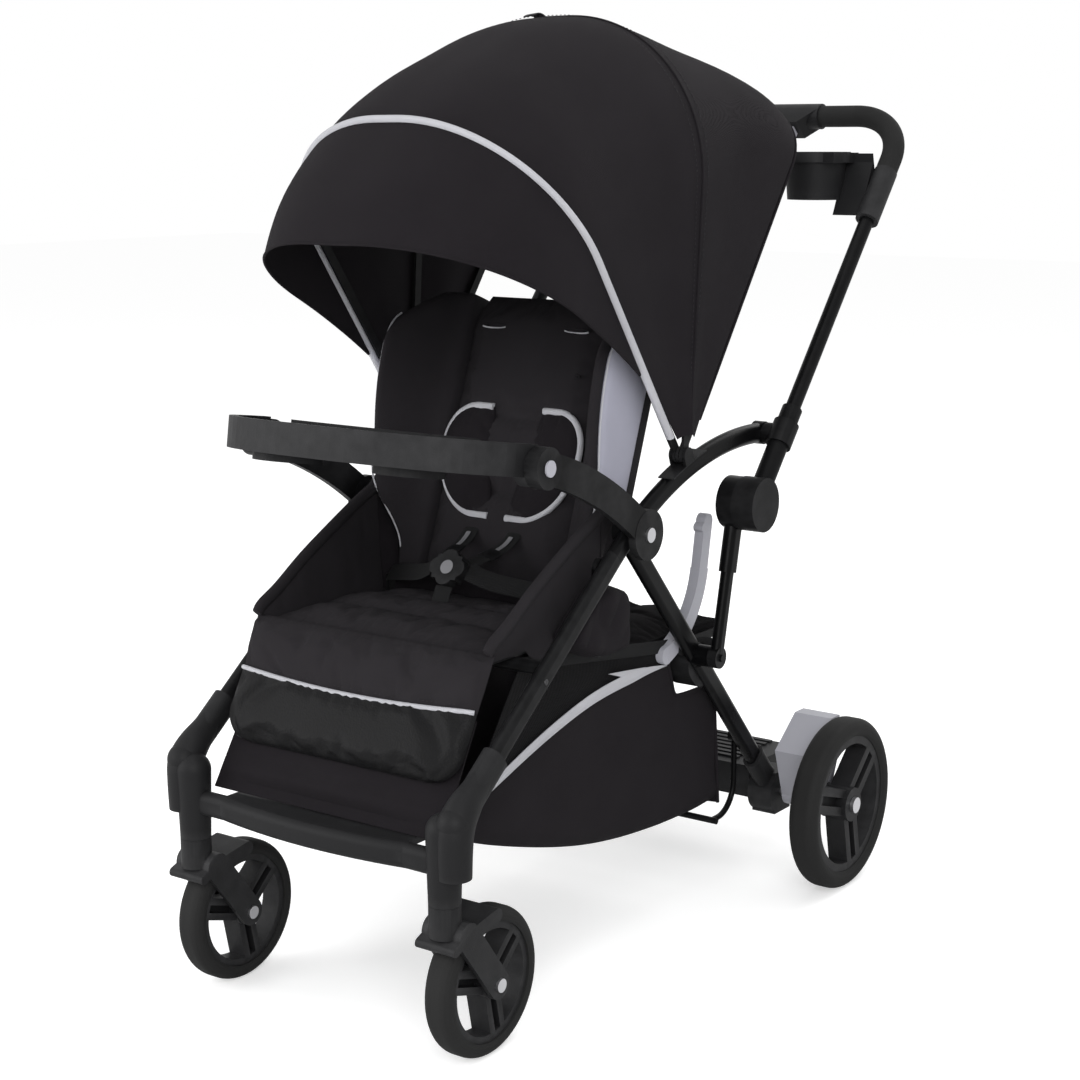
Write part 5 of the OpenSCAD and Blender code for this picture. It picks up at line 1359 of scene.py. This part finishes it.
@dataclass
class Harness:
    """Shoulder pads and webbing."""

    back: Backrest
    foot: float = 0.084
    high: float = 0.140
    low_x: float = 0.013
    top_x: float = 0.038
    end_wide: float = 0.022
    swell: float = 0.054
    base: float = 0.0172
    bulk: float = 0.013

    def edge(self, u: Array) -> tuple[Array, Array]:
        """Inner and outer edge of a pad at a share of its height."""
        inner = self.low_x + (self.top_x - self.low_x) * u
        return inner, inner + self.end_wide + self.swell * np.sqrt(np.clip(crown(u, 2.2), 0, 1))

    def build(self) -> None:
        """Makes both sides."""
        for name, side in SIDES:
            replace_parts(self.pad(name, side), "harness_pads")
            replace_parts(self.shoulder(name, side), "shoulder_straps")
            self.tail(name, side)
            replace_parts(self.lap(name, side), "lower_harness")
        self.crotch()

    def pad(self, name: str, side: float) -> Piece:
        """Makes one pad and the grey binding round its outer edge."""
        t, v = grid(33, 25)
        u = (1 - np.cos(math.pi * t)) / 2
        inner, outer = self.edge(u)
        x = inner + (outer - inner) * v
        high = self.foot + self.high * u
        puff = np.sqrt(np.clip(crown(u, 3) * crown(v, 3), 0, 1))
        top = self.back.place(side * x, self.base + 0.0035 + (self.bulk - 0.0045) * puff, high)
        under = self.back.place(side * x, self.base + 0.0004, high)
        piece = Shape.between(f"harness_pad_{name}", top, under, Finishes.CLOTH)
        Puff(cap=0.003).run(piece, edges(t))
        share = np.linspace(0, 1, 61)
        even = (1 - np.cos(math.pi * share)) / 2
        inner, outer = self.edge(even)
        low = np.linspace(self.low_x + 0.001, outer[0], 8)[:-1]
        high_end = np.linspace(outer[-1], self.top_x + 0.001, 8)[1:]
        xs = np.concatenate([low, outer, high_end])
        hs = np.concatenate([np.zeros(7), even, np.ones(7)]) * self.high + self.foot
        line = self.back.place(side * xs, self.base + 0.0036, hs)
        binding = Shape.tube(f"harness_binding_{name}", line, 0.0047, Finishes.TRIM, sides=10)
        for made in (piece, binding):
            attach(made, Body.BACKREST.value)
        return piece

    def shoulder(self, name: str, side: float) -> Piece:
        """Makes the web from a slot down to the pad."""
        slot = self.back.slot_heights[1]
        x = side * np.array([self.back.slot_x, 0.0625, 0.060, 0.052])
        ahead = np.array([self.back.front + 0.003, self.base + 0.004, self.base + 0.0035, self.base + 0.0022])
        high = np.array([slot, slot - 0.012, slot - 0.03, self.foot + self.high - 0.006])
        path = Shape.smooth(self.back.place(x, ahead, high), 24)
        normal = (0.0, -math.cos(self.back.lean), math.sin(self.back.lean))
        upper = Shape.web(f"shoulder_web_{name}", path, 0.0125, 0.1, normal)
        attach(upper, Body.BACKREST.value)
        return upper

    def tail(self, name: str, side: float) -> None:
        """Makes the web from the pad to the buckle, with its adjuster and grey strip."""
        knots = [
            self.back.place(side * 0.034, self.base + 0.0022, self.foot + 0.006),
            (side * 0.0335, -0.1475, 0.544),
            (side * 0.032, -0.168, 0.5275),
            (side * 0.028, -0.198, 0.519),
            (side * 0.022, -0.226, 0.513),
        ]
        path = Shape.smooth(knots, 22)
        face = (0.0, -0.8, 0.6)
        above = path[8:14] + 0.0026 * np.array(face)
        flat = {"flat": 0.3, "face": face}
        pieces = (
            Shape.web(f"shoulder_tail_{name}", path, 0.011, 0.12, face),
            Shape.tube(f"web_adjuster_{name}", path[14:18], 0.0125, Finishes.SMOOTH, sides=16, **flat),
            Shape.tube(f"web_strip_{name}", above, 0.0034, Finishes.GREY_DIM, sides=8, **flat),
        )
        for piece in pieces:
            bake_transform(piece)

    def lap(self, name: str, side: float) -> Piece:
        """Makes the web from the buckle to the side of the seat."""
        knots = [
            (side * 0.027, -0.239, 0.506),
            (side * 0.055, -0.226, 0.494),
            (side * 0.095, -0.206, 0.485),
            (side * 0.128, -0.190, 0.478),
            (side * 0.143, -0.183, 0.474),
        ]
        web = Shape.web(f"lap_web_{name}", Shape.smooth(knots, 30), 0.012, 0.11, (0.0, -0.75, 0.66))
        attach(web, Body.FRONT.value)
        return web

    def crotch(self) -> None:
        """Makes the web from the buckle down into the cushion."""
        knots = [(0.0, -0.2515, 0.4865), (0.0, -0.2565, 0.478), (0.0, -0.2605, 0.470), (0.0, -0.2625, 0.462)]
        web = Shape.web("crotch_web", Shape.smooth(knots, 16), 0.0125, 0.11, (0.0, -0.85, 0.53))
        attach(web, Body.FRONT.value)


@dataclass
class Seat:
    """Seat cushion, its cloth sides, the apron, the calf rest and the footwell panel."""

    front: float = -0.388
    depth: float = 0.214
    base: float = 0.4424
    half: float = 0.165
    lug_half: float = 0.144
    bulk: float = 0.026
    edge_share: float = 0.4
    side_top: tuple[tuple[float, float], ...] = (
        (-0.388, 0.466),
        (-0.358, 0.482),
        (-0.311, 0.512),
        (-0.256, 0.542),
        (-0.207, 0.567),
        (-0.170, 0.583),
    )
    side_x: float = 0.1745
    apron_top: tuple[float, float] = (-0.3884, 0.4545)
    apron_low: tuple[float, float] = (-0.4164, 0.3928)
    calf_low: tuple[float, float] = (-0.4565, 0.3165)
    calf_half: float = 0.176
    calf_foot_half: float = 0.175
    calf_bulk: float = 0.018
    droop: float = 0.009
    well_top: tuple[float, float] = (-0.410, 0.382)
    well_low: tuple[float, float] = (-0.4815, 0.2615)
    well_half: float = 0.172
    border_front: tuple[float, float] = (-0.3965, 0.457)
    skirt_top: tuple[tuple[float, float], ...] = (
        (-0.137, 0.486),
        (-0.17, 0.497),
        (-0.205, 0.498),
        (-0.235, 0.477),
        (-0.264, 0.454),
    )
    skirt_low: tuple[tuple[float, float], ...] = (
        (-0.131, 0.413),
        (-0.165, 0.412),
        (-0.205, 0.4145),
        (-0.24, 0.43),
        (-0.266, 0.4485),
    )
    skirt_x: tuple[float, float] = (0.172, 0.1992)
    seams: tuple[float, ...] = (0.36, 0.68)

    def build(self) -> None:
        """Makes every piece; all but the curtains and the gusset ride on the front frame."""
        pieces = [self.cushion(), self.apron(), self.calf(), self.well()]
        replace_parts(pieces[0], "seat_cushion")
        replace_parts(pieces[2], "calf_rest")
        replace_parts(pieces[3], "footwell_panel")
        for name, side in SIDES:
            pieces += self.side(name, side)
            pieces.append(self.skirt(name, side))
            self.curtain(name, side)
        pieces += self.trim()
        for piece in pieces:
            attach(piece, Body.FRONT.value)
        self.gusset()

    def cushion(self) -> Piece:
        """Makes the crowned cushion with two sewn channels."""
        u, v = grid(65, 57)
        step = 1 / (1 + np.exp(-(u - 0.72) / 0.01))
        wide = self.half + (self.lug_half - self.half) * step - 0.007 * crown(u, 2) - 0.002
        x = (2 * v - 1) * wide
        y = self.front + 0.001 + u * (self.depth - 0.002)
        seams = dips(u, self.seams, 0.02)
        rise = self.bulk * (self.edge_share + (1 - self.edge_share) * crown(u, 4) * crown(v, 6))
        top = np.stack([x, y, self.base + rise - 0.003 - 0.004 * seams * crown(v, 6)], axis=-1)
        under = np.stack([x, y, np.full_like(x, self.base)], axis=-1)
        # Cloth painted lighter: painted light for the shade under the canopy.
        piece = Shape.between("seat_pad", top, under, Finishes.CLOTH_SEAT_LIT)
        Puff(cap=0.006).run(piece, edges(u) | near(u, self.seams, 0.009))
        return piece

    @staticmethod
    def hung(
        start: tuple[float, float],
        end: tuple[float, float],
        u: Array,
        x: Array,
        out: float | Array,
    ) -> Array:
        """Places on a leaning panel.

        Args:
            start: Upper end as (y, z).
            end: Lower end as (y, z).
            u: Share from the upper to the lower end.
            x: Places across.
            out: Distance in front of the line.

        Returns:
            Points in the part's frame.
        """
        dy, dz = end[0] - start[0], end[1] - start[1]
        length = math.hypot(dy, dz)
        y = start[0] + dy * u + out * dz / length
        z = start[1] + dz * u - out * dy / length
        return np.stack(np.broadcast_arrays(x, y, z), axis=-1)

    def sag(self, v: Array) -> Array:
        """Extra length of the apron across its width, as a share of its height."""
        tall = math.hypot(self.apron_low[0] - self.apron_top[0], self.apron_low[1] - self.apron_top[1])
        return self.droop * crown(v, 2) / tall

    def apron(self) -> Piece:
        """Makes the cloth apron from the cushion's front edge to the piping."""
        u, v = grid(25, 61)
        x = (2 * v - 1) * (self.calf_half + 0.004 - 0.004 * u)
        sides = np.clip(crown(v, 14), 0, 1) ** 0.5
        out = 0.0105 * sides * np.sin(math.pi / 2 * np.minimum(u / 0.16, 1)) + 0.004 * crown(u, 2) * sides
        down = u * (1 + self.sag(v))
        points = self.hung(self.apron_top, self.apron_low, down, x, out + 0.001)
        wave = Shape.ripple(points, 21, 0.11, 0.0016) * crown(u, 2)
        front = points + Shape.normals(points) * wave[..., None]
        back = self.hung(self.apron_top, self.apron_low, down, x * 0.985, 0.0)
        # Cloth painted lighter: painted light for the shade under the canopy.
        piece = Shape.between("seat_apron", front, back, Finishes.CLOTH_SEAT_LIT)
        Puff(cap=0.004).run(piece, edges(u))
        return piece

    def calf(self) -> Piece:
        """Makes the vinyl calf rest with its thick rounded lower edge."""
        u, v = grid(41, 61)
        corner = 0.04 * (1 - np.sqrt(np.clip(1 - (np.maximum(u - 0.6, 0) / 0.4) ** 2, 0, 1)))
        half = self.calf_half + (self.calf_foot_half - self.calf_half) * u**2 - corner
        x = (2 * v - 1) * half
        sides = np.clip(crown(v, 16), 0, 1) ** 0.5
        foot = np.sqrt(np.clip(1 - np.maximum((u - 0.8) / 0.2, 0) ** 2, 0, 1))
        out = 0.001 + (self.calf_bulk - 0.004) * sides * foot
        tall = math.hypot(self.calf_low[0] - self.apron_low[0], self.calf_low[1] - self.apron_low[1])
        down = u + (1 - u) * self.droop * crown(v, 2) / tall
        front = self.hung(self.apron_low, self.calf_low, down, x, out)
        back = self.hung(self.apron_low, self.calf_low, down, x * 0.985, 0.0)
        piece = Shape.between("calf_pad", front, back, Finishes.VINYL)
        Puff(cap=0.004).run(piece, edges(u))
        return piece

    def well(self) -> Piece:
        """Makes the slack cloth panel behind the feet."""
        u, v = grid(31, 49)
        x = (2 * v - 1) * (self.well_half - 0.004 * (1 - u))
        fold = 0.005 * (dip(u, 0.8, 0.07) - dip(u, 0.9, 0.04)) * crown(v, 4)
        out = 0.004 * crown(u, 2) * crown(v, 4) + fold - 0.002
        points = self.hung(self.well_top, self.well_low, u, x, out)
        wave = Shape.ripple(points, 23, 0.09, 0.002) * crown(u, 2) * crown(v, 4)
        points = points + Shape.normals(points) * wave[..., None]
        piece = Shape.cloth("footwell_cloth", points, 0.003, Finishes.CLOTH)
        Shape.sheet(piece, points, "stretched", ("footrest_bar", "seat_board"))
        return piece

    def side(self, name: str, side: float) -> list[Piece]:
        """Makes one upright cloth side with its padded upper border."""
        u, v = grid(57, 21)
        line = Shape.smooth(self.side_top, 57)
        top = np.repeat(line[:, 1][:, None], 21, axis=1)
        y = np.repeat(line[:, 0][:, None], 21, axis=1)
        x = self.half + 0.0012 + (self.side_x - self.half - 0.0012) * crown(v / 2, 2)
        floor = self.base - 0.016 * np.clip(crown(np.clip((y + 0.312) / 0.098, 0, 1), 4), 0, 1)
        points = np.stack([side * x, y, floor + v * (top - floor)], axis=-1)
        fold = Shape.ripple(points, 31 if side > 0 else 37, 0.07, 0.0034) * crown(v, 2) * np.minimum(1, 4 * u)
        points[..., 0] -= side * (np.abs(fold) + 0.0005)
        # Cloth painted lighter: painted light for the shade under the canopy.
        wall = Shape.cloth(f"seat_side_{name}", points, 0.0016, Finishes.CLOTH_SEAT_LIT)
        Shape.sheet(wall, points, "hung", ("seat_cross_tubes", "front_legs"))
        rim = Shape.smooth((self.border_front, *self.side_top), 65)
        edge = np.column_stack([np.full(65, side * self.side_x), rim])
        face = (side, 0.0, 0.0)
        # Cloth painted lighter: painted light for the shade under the canopy.
        border = Shape.tube(
            f"seat_border_{name}", edge, 0.0085, Finishes.CLOTH_SEAT_LIT, sides=14, flat=0.6, face=face
        )
        return [wall, border]

    def skirt(self, name: str, side: float) -> Piece:
        """Makes the padded cloth that hangs over the rear cross tube's hanger on one side."""
        u, v = grid(37, 25)
        top = Shape.smooth(self.skirt_top, 37)[:, None, :]
        low = Shape.smooth(self.skirt_low, 37)[:, None, :]
        flat = top + (low - top) * v[..., None]
        puff = np.clip(crown(u, 8) * crown(v, 8), 0, 1) ** 0.5
        inner, outer = self.skirt_x
        back = np.dstack([np.full(u.shape, side * inner), flat])
        wave = np.abs(Shape.ripple(back, 33, 0.05, 0.008)) * puff
        swell = inner + 0.006 + (outer - inner - 0.0025) * puff + wave
        out = np.dstack([side * swell, flat])
        piece = Shape.between(f"seat_skirt_{name}", out, back, Finishes.CLOTH)
        return piece

    def curtain(self, name: str, side: float) -> None:
        """Makes the cloth between one side's rear edge and the foot of the backrest wing."""
        u, v = grid(21, 13)
        wall = np.stack(np.broadcast_arrays(side * self.side_x, -0.1705, 0.444 + 0.137 * u), axis=-1)
        wing = np.stack([side * (0.132 + 0.034 * ease(u)), -0.158 + 0.034 * u, 0.472 + 0.108 * u], axis=-1)
        points = wall + (wing - wall) * v[..., None]
        points[..., 1] += 0.004 * crown(v, 2)
        piece = Shape.cloth(f"seat_curtain_{name}", points, 0.0014, Finishes.CLOTH)
        Shape.sheet(piece, points, "hung", ("seat_board", "backrest_board"))
        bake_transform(piece)

    def gusset(self) -> None:
        """Makes the cloth between the cushion's rear edge and the foot of the backrest."""
        _, v = grid(13, 41)
        line = Shape.smooth(((-0.177, 0.4515), (-0.1755, 0.462), (-0.1705, 0.474), (-0.1625, 0.4835)), 13)
        points = np.dstack([(2 * v - 1) * 0.139, np.repeat(line[:, None, :], 41, axis=1)])
        piece = Shape.cloth("seat_gusset", points, 0.0014, Finishes.CLOTH)
        Shape.sheet(piece, points, "hung", ("seat_board", "backrest_board"))
        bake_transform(piece)

    def trim(self) -> list[Piece]:
        """Makes the grey piping of the apron and the stitches above it."""
        v = np.linspace(0.004, 0.996, 81)
        x = (2 * v - 1) * (self.calf_half + 0.0005)
        sides = np.clip(crown(v, 14), 0, 1) ** 0.5
        down = 1 + self.sag(v)
        line = self.hung(self.apron_top, self.apron_low, down, x, 0.0025 + 0.0118 * sides)
        piping = Shape.tube("apron_piping", line, 0.0029, Finishes.TRIM, sides=10)
        line = self.hung(self.apron_top, self.apron_low, 0.9 * down, x * 0.985, 0.0022 + 0.0118 * sides)
        thread = Shape.stitches("apron_stitches", line[3:-3], Finishes.THREAD)
        return [piping, thread]


@dataclass
class Basket:
    """Slung cloth basket with its stripes, nets, bands and leg loops."""

    half: float = 0.1575
    round_off: float = 0.022
    cloth: float = 0.0016
    bottom: tuple[tuple[float, float], ...] = (
        (-0.426, 0.243),
        (-0.33, 0.2075),
        (-0.212, 0.172),
        (-0.11, 0.150),
        (0.0, 0.137),
        (0.09, 0.1325),
        (0.146, 0.1335),
    )
    top: tuple[tuple[float, float], ...] = (
        (-0.427, 0.262),
        (-0.393, 0.288),
        (-0.338, 0.3085),
        (-0.268, 0.3305),
        (-0.194, 0.349),
        (-0.132, 0.3585),
        (-0.051, 0.363),
        (0.006, 0.3605),
        (0.014, 0.352),
        (0.021, 0.334),
        (0.030, 0.3125),
        (0.05, 0.308),
        (0.09, 0.3065),
        (0.130, 0.306),
    )
    stripe_knots: int = 8
    band: tuple[tuple[float, float], ...] = (
        (-0.31, 0.4245),
        (-0.26, 0.4185),
        (-0.202, 0.4105),
        (-0.117, 0.3985),
        (-0.04, 0.3875),
        (0.026, 0.379),
    )
    band_half: float = 0.0085
    band_flat: float = 0.14
    thin: float = 0.0012
    fin: tuple[tuple[float, float], ...] = ((-0.131, 0.3745), (-0.095, 0.3625), (-0.043, 0.3645))
    loop: tuple[float, float] = (0.0615, 0.3655)

    def lines(self, count: int) -> tuple[Array, Array]:
        """Bottom and top line of a side, as (y, z) points."""
        return Shape.smooth(self.bottom, count), Shape.smooth(self.top, count)

    def build(self) -> None:
        """Makes every piece; the leg loops ride on the rear frame, the strap tails on no body, the rest on
        the front frame.
        """
        tub = self.tub()
        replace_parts(tub, "basket")
        pieces = [tub, self.end("basket_rear_panel", 1.0), self.end("basket_front_panel", 0.0)]
        for name, side in SIDES:
            pieces += [make(name, side) for make in (self.stripe, self.barb, self.net, self.hem)]
            self.strap(name, side)
        for piece in pieces:
            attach(piece, Body.FRONT.value)

    def tub(self) -> Piece:
        """Makes both sides and the bottom as one sagging sheet."""
        rows, wall, turn, floor = 71, 19, 7, 25
        low, high = self.lines(rows)
        h = np.concatenate([np.linspace(1, 0, wall), np.zeros(turn + floor + turn), np.linspace(0, 1, wall)])
        points = np.zeros((rows, len(h), 3))
        for i in range(rows):
            tall = float(np.linalg.norm(high[i] - low[i]))
            up = (high[i] - low[i]) / tall
            r = min(self.round_off, 0.8 * tall)
            side_z = r + (tall - r) * np.linspace(1, 0, wall)
            angle = np.linspace(0, math.pi / 2, turn + 2)[1:-1]
            flat_x = np.linspace(self.half - r, -(self.half - r), floor)
            x = np.concatenate([
                np.full(wall, self.half),
                self.half - r + r * np.cos(angle),
                flat_x,
                -(self.half - r + r * np.cos(angle[::-1])),
                np.full(wall, -self.half),
            ])
            z = np.concatenate([
                side_z,
                r - r * np.sin(angle),
                np.zeros(floor),
                r - r * np.sin(angle[::-1]),
                side_z[::-1],
            ])
            sag = 0.009 * np.clip(1 - (x / self.half) ** 2, 0, 1) * math.sin(math.pi * (i + 0.5) / rows)
            points[i, :, 0] = x
            points[i, :, 1] = low[i, 0] + up[0] * z
            points[i, :, 2] = low[i, 1] + up[1] * z - sag
        slack = np.sin(math.pi * np.clip(h, 0, 1))
        wave = Shape.ripple(points, 41, 0.13, 0.004) * slack
        fold = 0.0022 * np.sin(points[..., 1] / 0.021 + 3 * points[..., 2] / 0.1) * slack
        fold *= np.clip((points[..., 1] + 0.02) / 0.1, 0, 1)
        points[..., 0] += np.sign(points[..., 0]) * (wave + fold - 0.003 * slack)
        piece = Shape.cloth("basket_cloth", points, self.cloth, Finishes.CLOTH)
        Shape.sheet(piece, points, "hung", ("seat_cross_tubes", "basket_wire"))
        return piece

    def end(self, name: str, share: float) -> Piece:
        """Makes the upright panel at one end of the basket.

        Args:
            name: Piece name.
            share: 0 at the front and 1 at the rear.

        Returns:
            The panel.
        """
        low, high = self.lines(31)
        a, b = (low[-1], high[-1]) if share else (low[0], high[0])
        u, v = grid(21, 37)
        x = (2 * v - 1) * (self.half - 0.0012)
        fall = 0.2 * crown(v, 6) * u if share else 0.0
        y = a[0] + (b[0] - a[0]) * (u - fall)
        z = a[1] + (b[1] - a[1]) * (u - fall) - 0.008 * crown(v, 2) * (1 - u)
        bow = 0.006 * crown(u, 2) * crown(v, 2) * (1 if share else -1)
        points = np.stack([x, y + bow, z], axis=-1)
        piece = Shape.cloth(name, points, self.cloth, Finishes.CLOTH)
        Shape.sheet(piece, points, "hung", ("basket_wire",))
        return piece

    def arc(self, count: int) -> Array:
        """Upper edge of the cloth side from the front to the band."""
        return Shape.smooth(self.top[: self.stripe_knots], count)

    def stripe(self, name: str, side: float) -> Piece:
        """Makes the tapered grey stripe along the side's upper edge."""
        line = self.arc(71)
        s = np.linspace(0, 1, 71)
        half = 0.0034 + 0.0038 * np.sin(math.pi / 2 * np.minimum(s / 0.8, 1))
        half *= np.clip((1.01 - s) / 0.2, 0, 1)
        along = Shape.ways(line)
        across = np.stack([-along[:, 1], along[:, 0]], axis=1)
        w = np.linspace(-1.0, 1.0, 5)
        centre = line - across * 0.004
        flat = centre[:, None, :] + across[:, None, :] * half[:, None, None] * w[None, :, None]
        x = np.full((71, 5), side * (self.half + 0.0024)) + side * 0.0008 * (1 - w**2)
        return Shape.cloth(f"basket_stripe_{name}", np.dstack([x, flat]), self.thin, Finishes.TRIM)

    def barb(self, name: str, side: float) -> Piece:
        """Makes the grey point that branches forward from the stripe's upper edge."""
        tip, low, high = (np.array(p) for p in self.fin)
        u, v = grid(9, 5)
        u = 0.06 + 0.94 * u
        flat = tip + (low - tip) * (u * (1 - v))[..., None] + (high - tip) * (u * v)[..., None]
        x = np.full(u.shape, side * (self.half + 0.0022))
        return Shape.cloth(f"basket_barb_{name}", np.dstack([x, flat]), self.thin, Finishes.TRIM)

    def net(self, name: str, side: float) -> Piece:
        """Makes the dark net between the stripe and the band."""
        low = self.arc(57)
        high = Shape.smooth(self.band, 57)
        u, v = grid(57, 13)
        flat = low[:, None, :] + (high - low)[:, None, :] * v[..., None]
        x = side * (self.half - 0.001 - 0.004 * crown(v, 2) * crown(u, 2))
        points = np.dstack([x, flat])
        piece = Shape.cloth(f"basket_net_{name}", points, self.thin, Finishes.NET)
        Shape.sheet(piece, points, "stretched", ("seat_cross_tubes",))
        return piece

    def hem(self, name: str, side: float) -> Piece:
        """Makes the bound edge of the side behind the band and down the rear."""
        low, high = self.lines(61)
        path = np.concatenate([high[33:], np.linspace(high[-1], low[-1], 22)[1:]])
        line = np.column_stack([np.full(len(path), side * (self.half + 0.0004)), path])
        return Shape.tube(f"basket_hem_{name}", line, 0.0026, Finishes.CLOTH, sides=8)

    def strap(self, name: str, side: float) -> None:
        """Makes the band under the seat, its tail to the rear leg and the leg loop."""
        line = Shape.smooth(self.band, 41)
        path = np.column_stack([np.full(41, side * (self.half + 0.0008)), line])
        outward = (side, 0.0, 0.0)
        band = Shape.web(f"basket_band_{name}", path, self.band_half, self.band_flat, outward)
        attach(band, Body.FRONT.value)
        knots = [
            (side * (self.half + 0.0012), self.band[-1][0] - 0.012, self.band[-1][1] + 0.0016),
            (side * 0.1615, 0.0195, 0.3795),
            (side * 0.1665, 0.0255, 0.3765),
            (side * 0.1712, 0.0315, 0.3735),
        ]
        path = Shape.smooth(knots, 25)
        tail = Shape.web(f"basket_tail_{name}", path, self.band_half, self.band_flat, outward)
        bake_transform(tail)
        turn = np.linspace(0, 2 * math.pi, 36, endpoint=False)
        slope = math.radians(-46.1)
        across = (-math.sin(slope), math.cos(slope))
        out = 0.0172 * np.sign(np.sin(turn)) * np.abs(np.sin(turn)) ** 0.7
        ring = np.column_stack([
            side * (0.1765 + 0.0098 * np.sign(np.cos(turn)) * np.abs(np.cos(turn)) ** 0.5),
            self.loop[0] + out * across[0],
            self.loop[1] + out * across[1],
        ])
        face = (0.0, math.cos(slope), math.sin(slope))
        loop = Shape.tube(
            f"basket_loop_{name}", ring, 0.0075, Finishes.WEBBING, closed=True, sides=10, flat=0.16, face=face
        )
        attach(loop, Body.REAR.value)


@dataclass
class Bench:
    """Rear bench cushion and its piping."""

    front: float = -0.052
    depth: float = 0.200
    base: float = 0.3784
    half: float = 0.150
    bulk: float = 0.030
    seams: tuple[float, ...] = (0.34, 0.66)

    def build(self) -> None:
        """Makes the cushion and its piping."""
        u, v = grid(49, 57)
        x = (2 * v - 1) * (self.half - 0.002 - 0.006 * crown(u, 2))
        y = self.front + 0.001 + u * (self.depth - 0.002)
        seams = dips(v, self.seams, 0.018)
        rise = self.bulk * (0.5 + 0.5 * crown(u, 4) * crown(v, 6)) - 0.005 - 0.005 * seams * crown(u, 6)
        top = np.stack([x, y, self.base + rise], axis=-1)
        under = np.stack([x, y, np.full_like(x, self.base)], axis=-1)
        # The darker cloth on the cushion and its piping is painted shade.
        piece = Shape.between("bench_pad", top, under, Finishes.CLOTH_SHADED)
        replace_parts(piece, "bench_cushion")
        Puff(cap=0.006).run(piece, edges(u) | near(v, self.seams, 0.01))
        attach(piece, Body.REAR.value)
        edge = top.reshape(-1, 3)[Shape.rim(*u.shape)]
        piping = Shape.tube("bench_piping", edge, 0.0018, Finishes.CLOTH_SHADED, closed=True, sides=8)
        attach(piping, Body.REAR.value)


@dataclass
class Sockets:
    """Smooth mouldings over the elbows of the two leg sockets."""

    x: float = 0.205
    knots: tuple[tuple[float, float], ...] = (
        (-0.4335, 0.3434),
        (-0.46, 0.3228),
        (-0.482, 0.3062),
        (-0.4952, 0.289),
        (-0.498, 0.266),
        (-0.498, 0.232),
    )
    spans: tuple[tuple[float, float], ...] = (
        (0.0166, 0.0116),
        (0.0178, 0.0142),
        (0.0202, 0.019),
        (0.0212, 0.0212),
        (0.0204, 0.0204),
        (0.0193, 0.0193),
    )

    def build(self) -> None:
        """Makes both mouldings and lets them ride on the front frame."""
        path = Shape.smooth(self.knots, 41)
        spans = Shape.smooth(self.spans, 41)
        along = Shape.ways(path)
        turn = np.linspace(0, 2 * math.pi, 32, endpoint=False)
        ahead = spans[:, :1] * np.cos(turn)
        for name, side in SIDES:
            rings = np.stack(
                [
                    side * (self.x + spans[:, 1:] * np.sin(turn)),
                    path[:, :1] - along[:, 1:] * ahead,
                    path[:, 1:] + along[:, :1] * ahead,
                ],
                axis=-1,
            )
            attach(Shape.loft(f"socket_elbow_{name}", rings, Finishes.PLASTIC), Body.FRONT.value)


@dataclass
class Fasteners:
    """Rivet heads on the front legs."""

    dome: tuple[tuple[float, float], ...] = (
        (0.0036, -0.001),
        (0.0036, 0.0003),
        (0.0031, 0.0009),
        (0.002, 0.0014),
        (0.0007, 0.0016),
        (0.0001, 0.0016),
    )
    leg: tuple[tuple[float, float], ...] = ((-0.3375, 0.418),)
    leg_x: float = 0.213

    def build(self) -> None:
        """Puts the heads on the outer faces of both front legs."""
        for name, side in SIDES:
            for number, (y, z) in enumerate(self.leg):
                at = (side * self.leg_x, y, z)
                head = Shape.lathe(
                    f"leg_rivet_{name}_{number}", self.dome, at, (side, 0.0, 0.0), Finishes.RIVET
                )
                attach(head, Body.FRONT.value)
        LOG.info("fasteners: %d on each front leg", len(self.leg))


def main() -> None:
    """Builds the whole scene."""
    Studio().build()
    looks = CadLooks(CAD_FINISHES)
    looks.build()
    for side in ("left", "right"):
        looks.tyre(f"front_tyre_{side}", FRONT_AXLE)
        looks.tyre(f"rear_tyre_{side}", REAR_AXLE)
    Canopy().build()
    back = Backrest()
    back.build()
    Harness(back).build()
    Seat().build()
    Basket().build()
    Bench().build()
    Sockets().build()
    Fasteners().build()


if __name__ == "__main__":
    main()
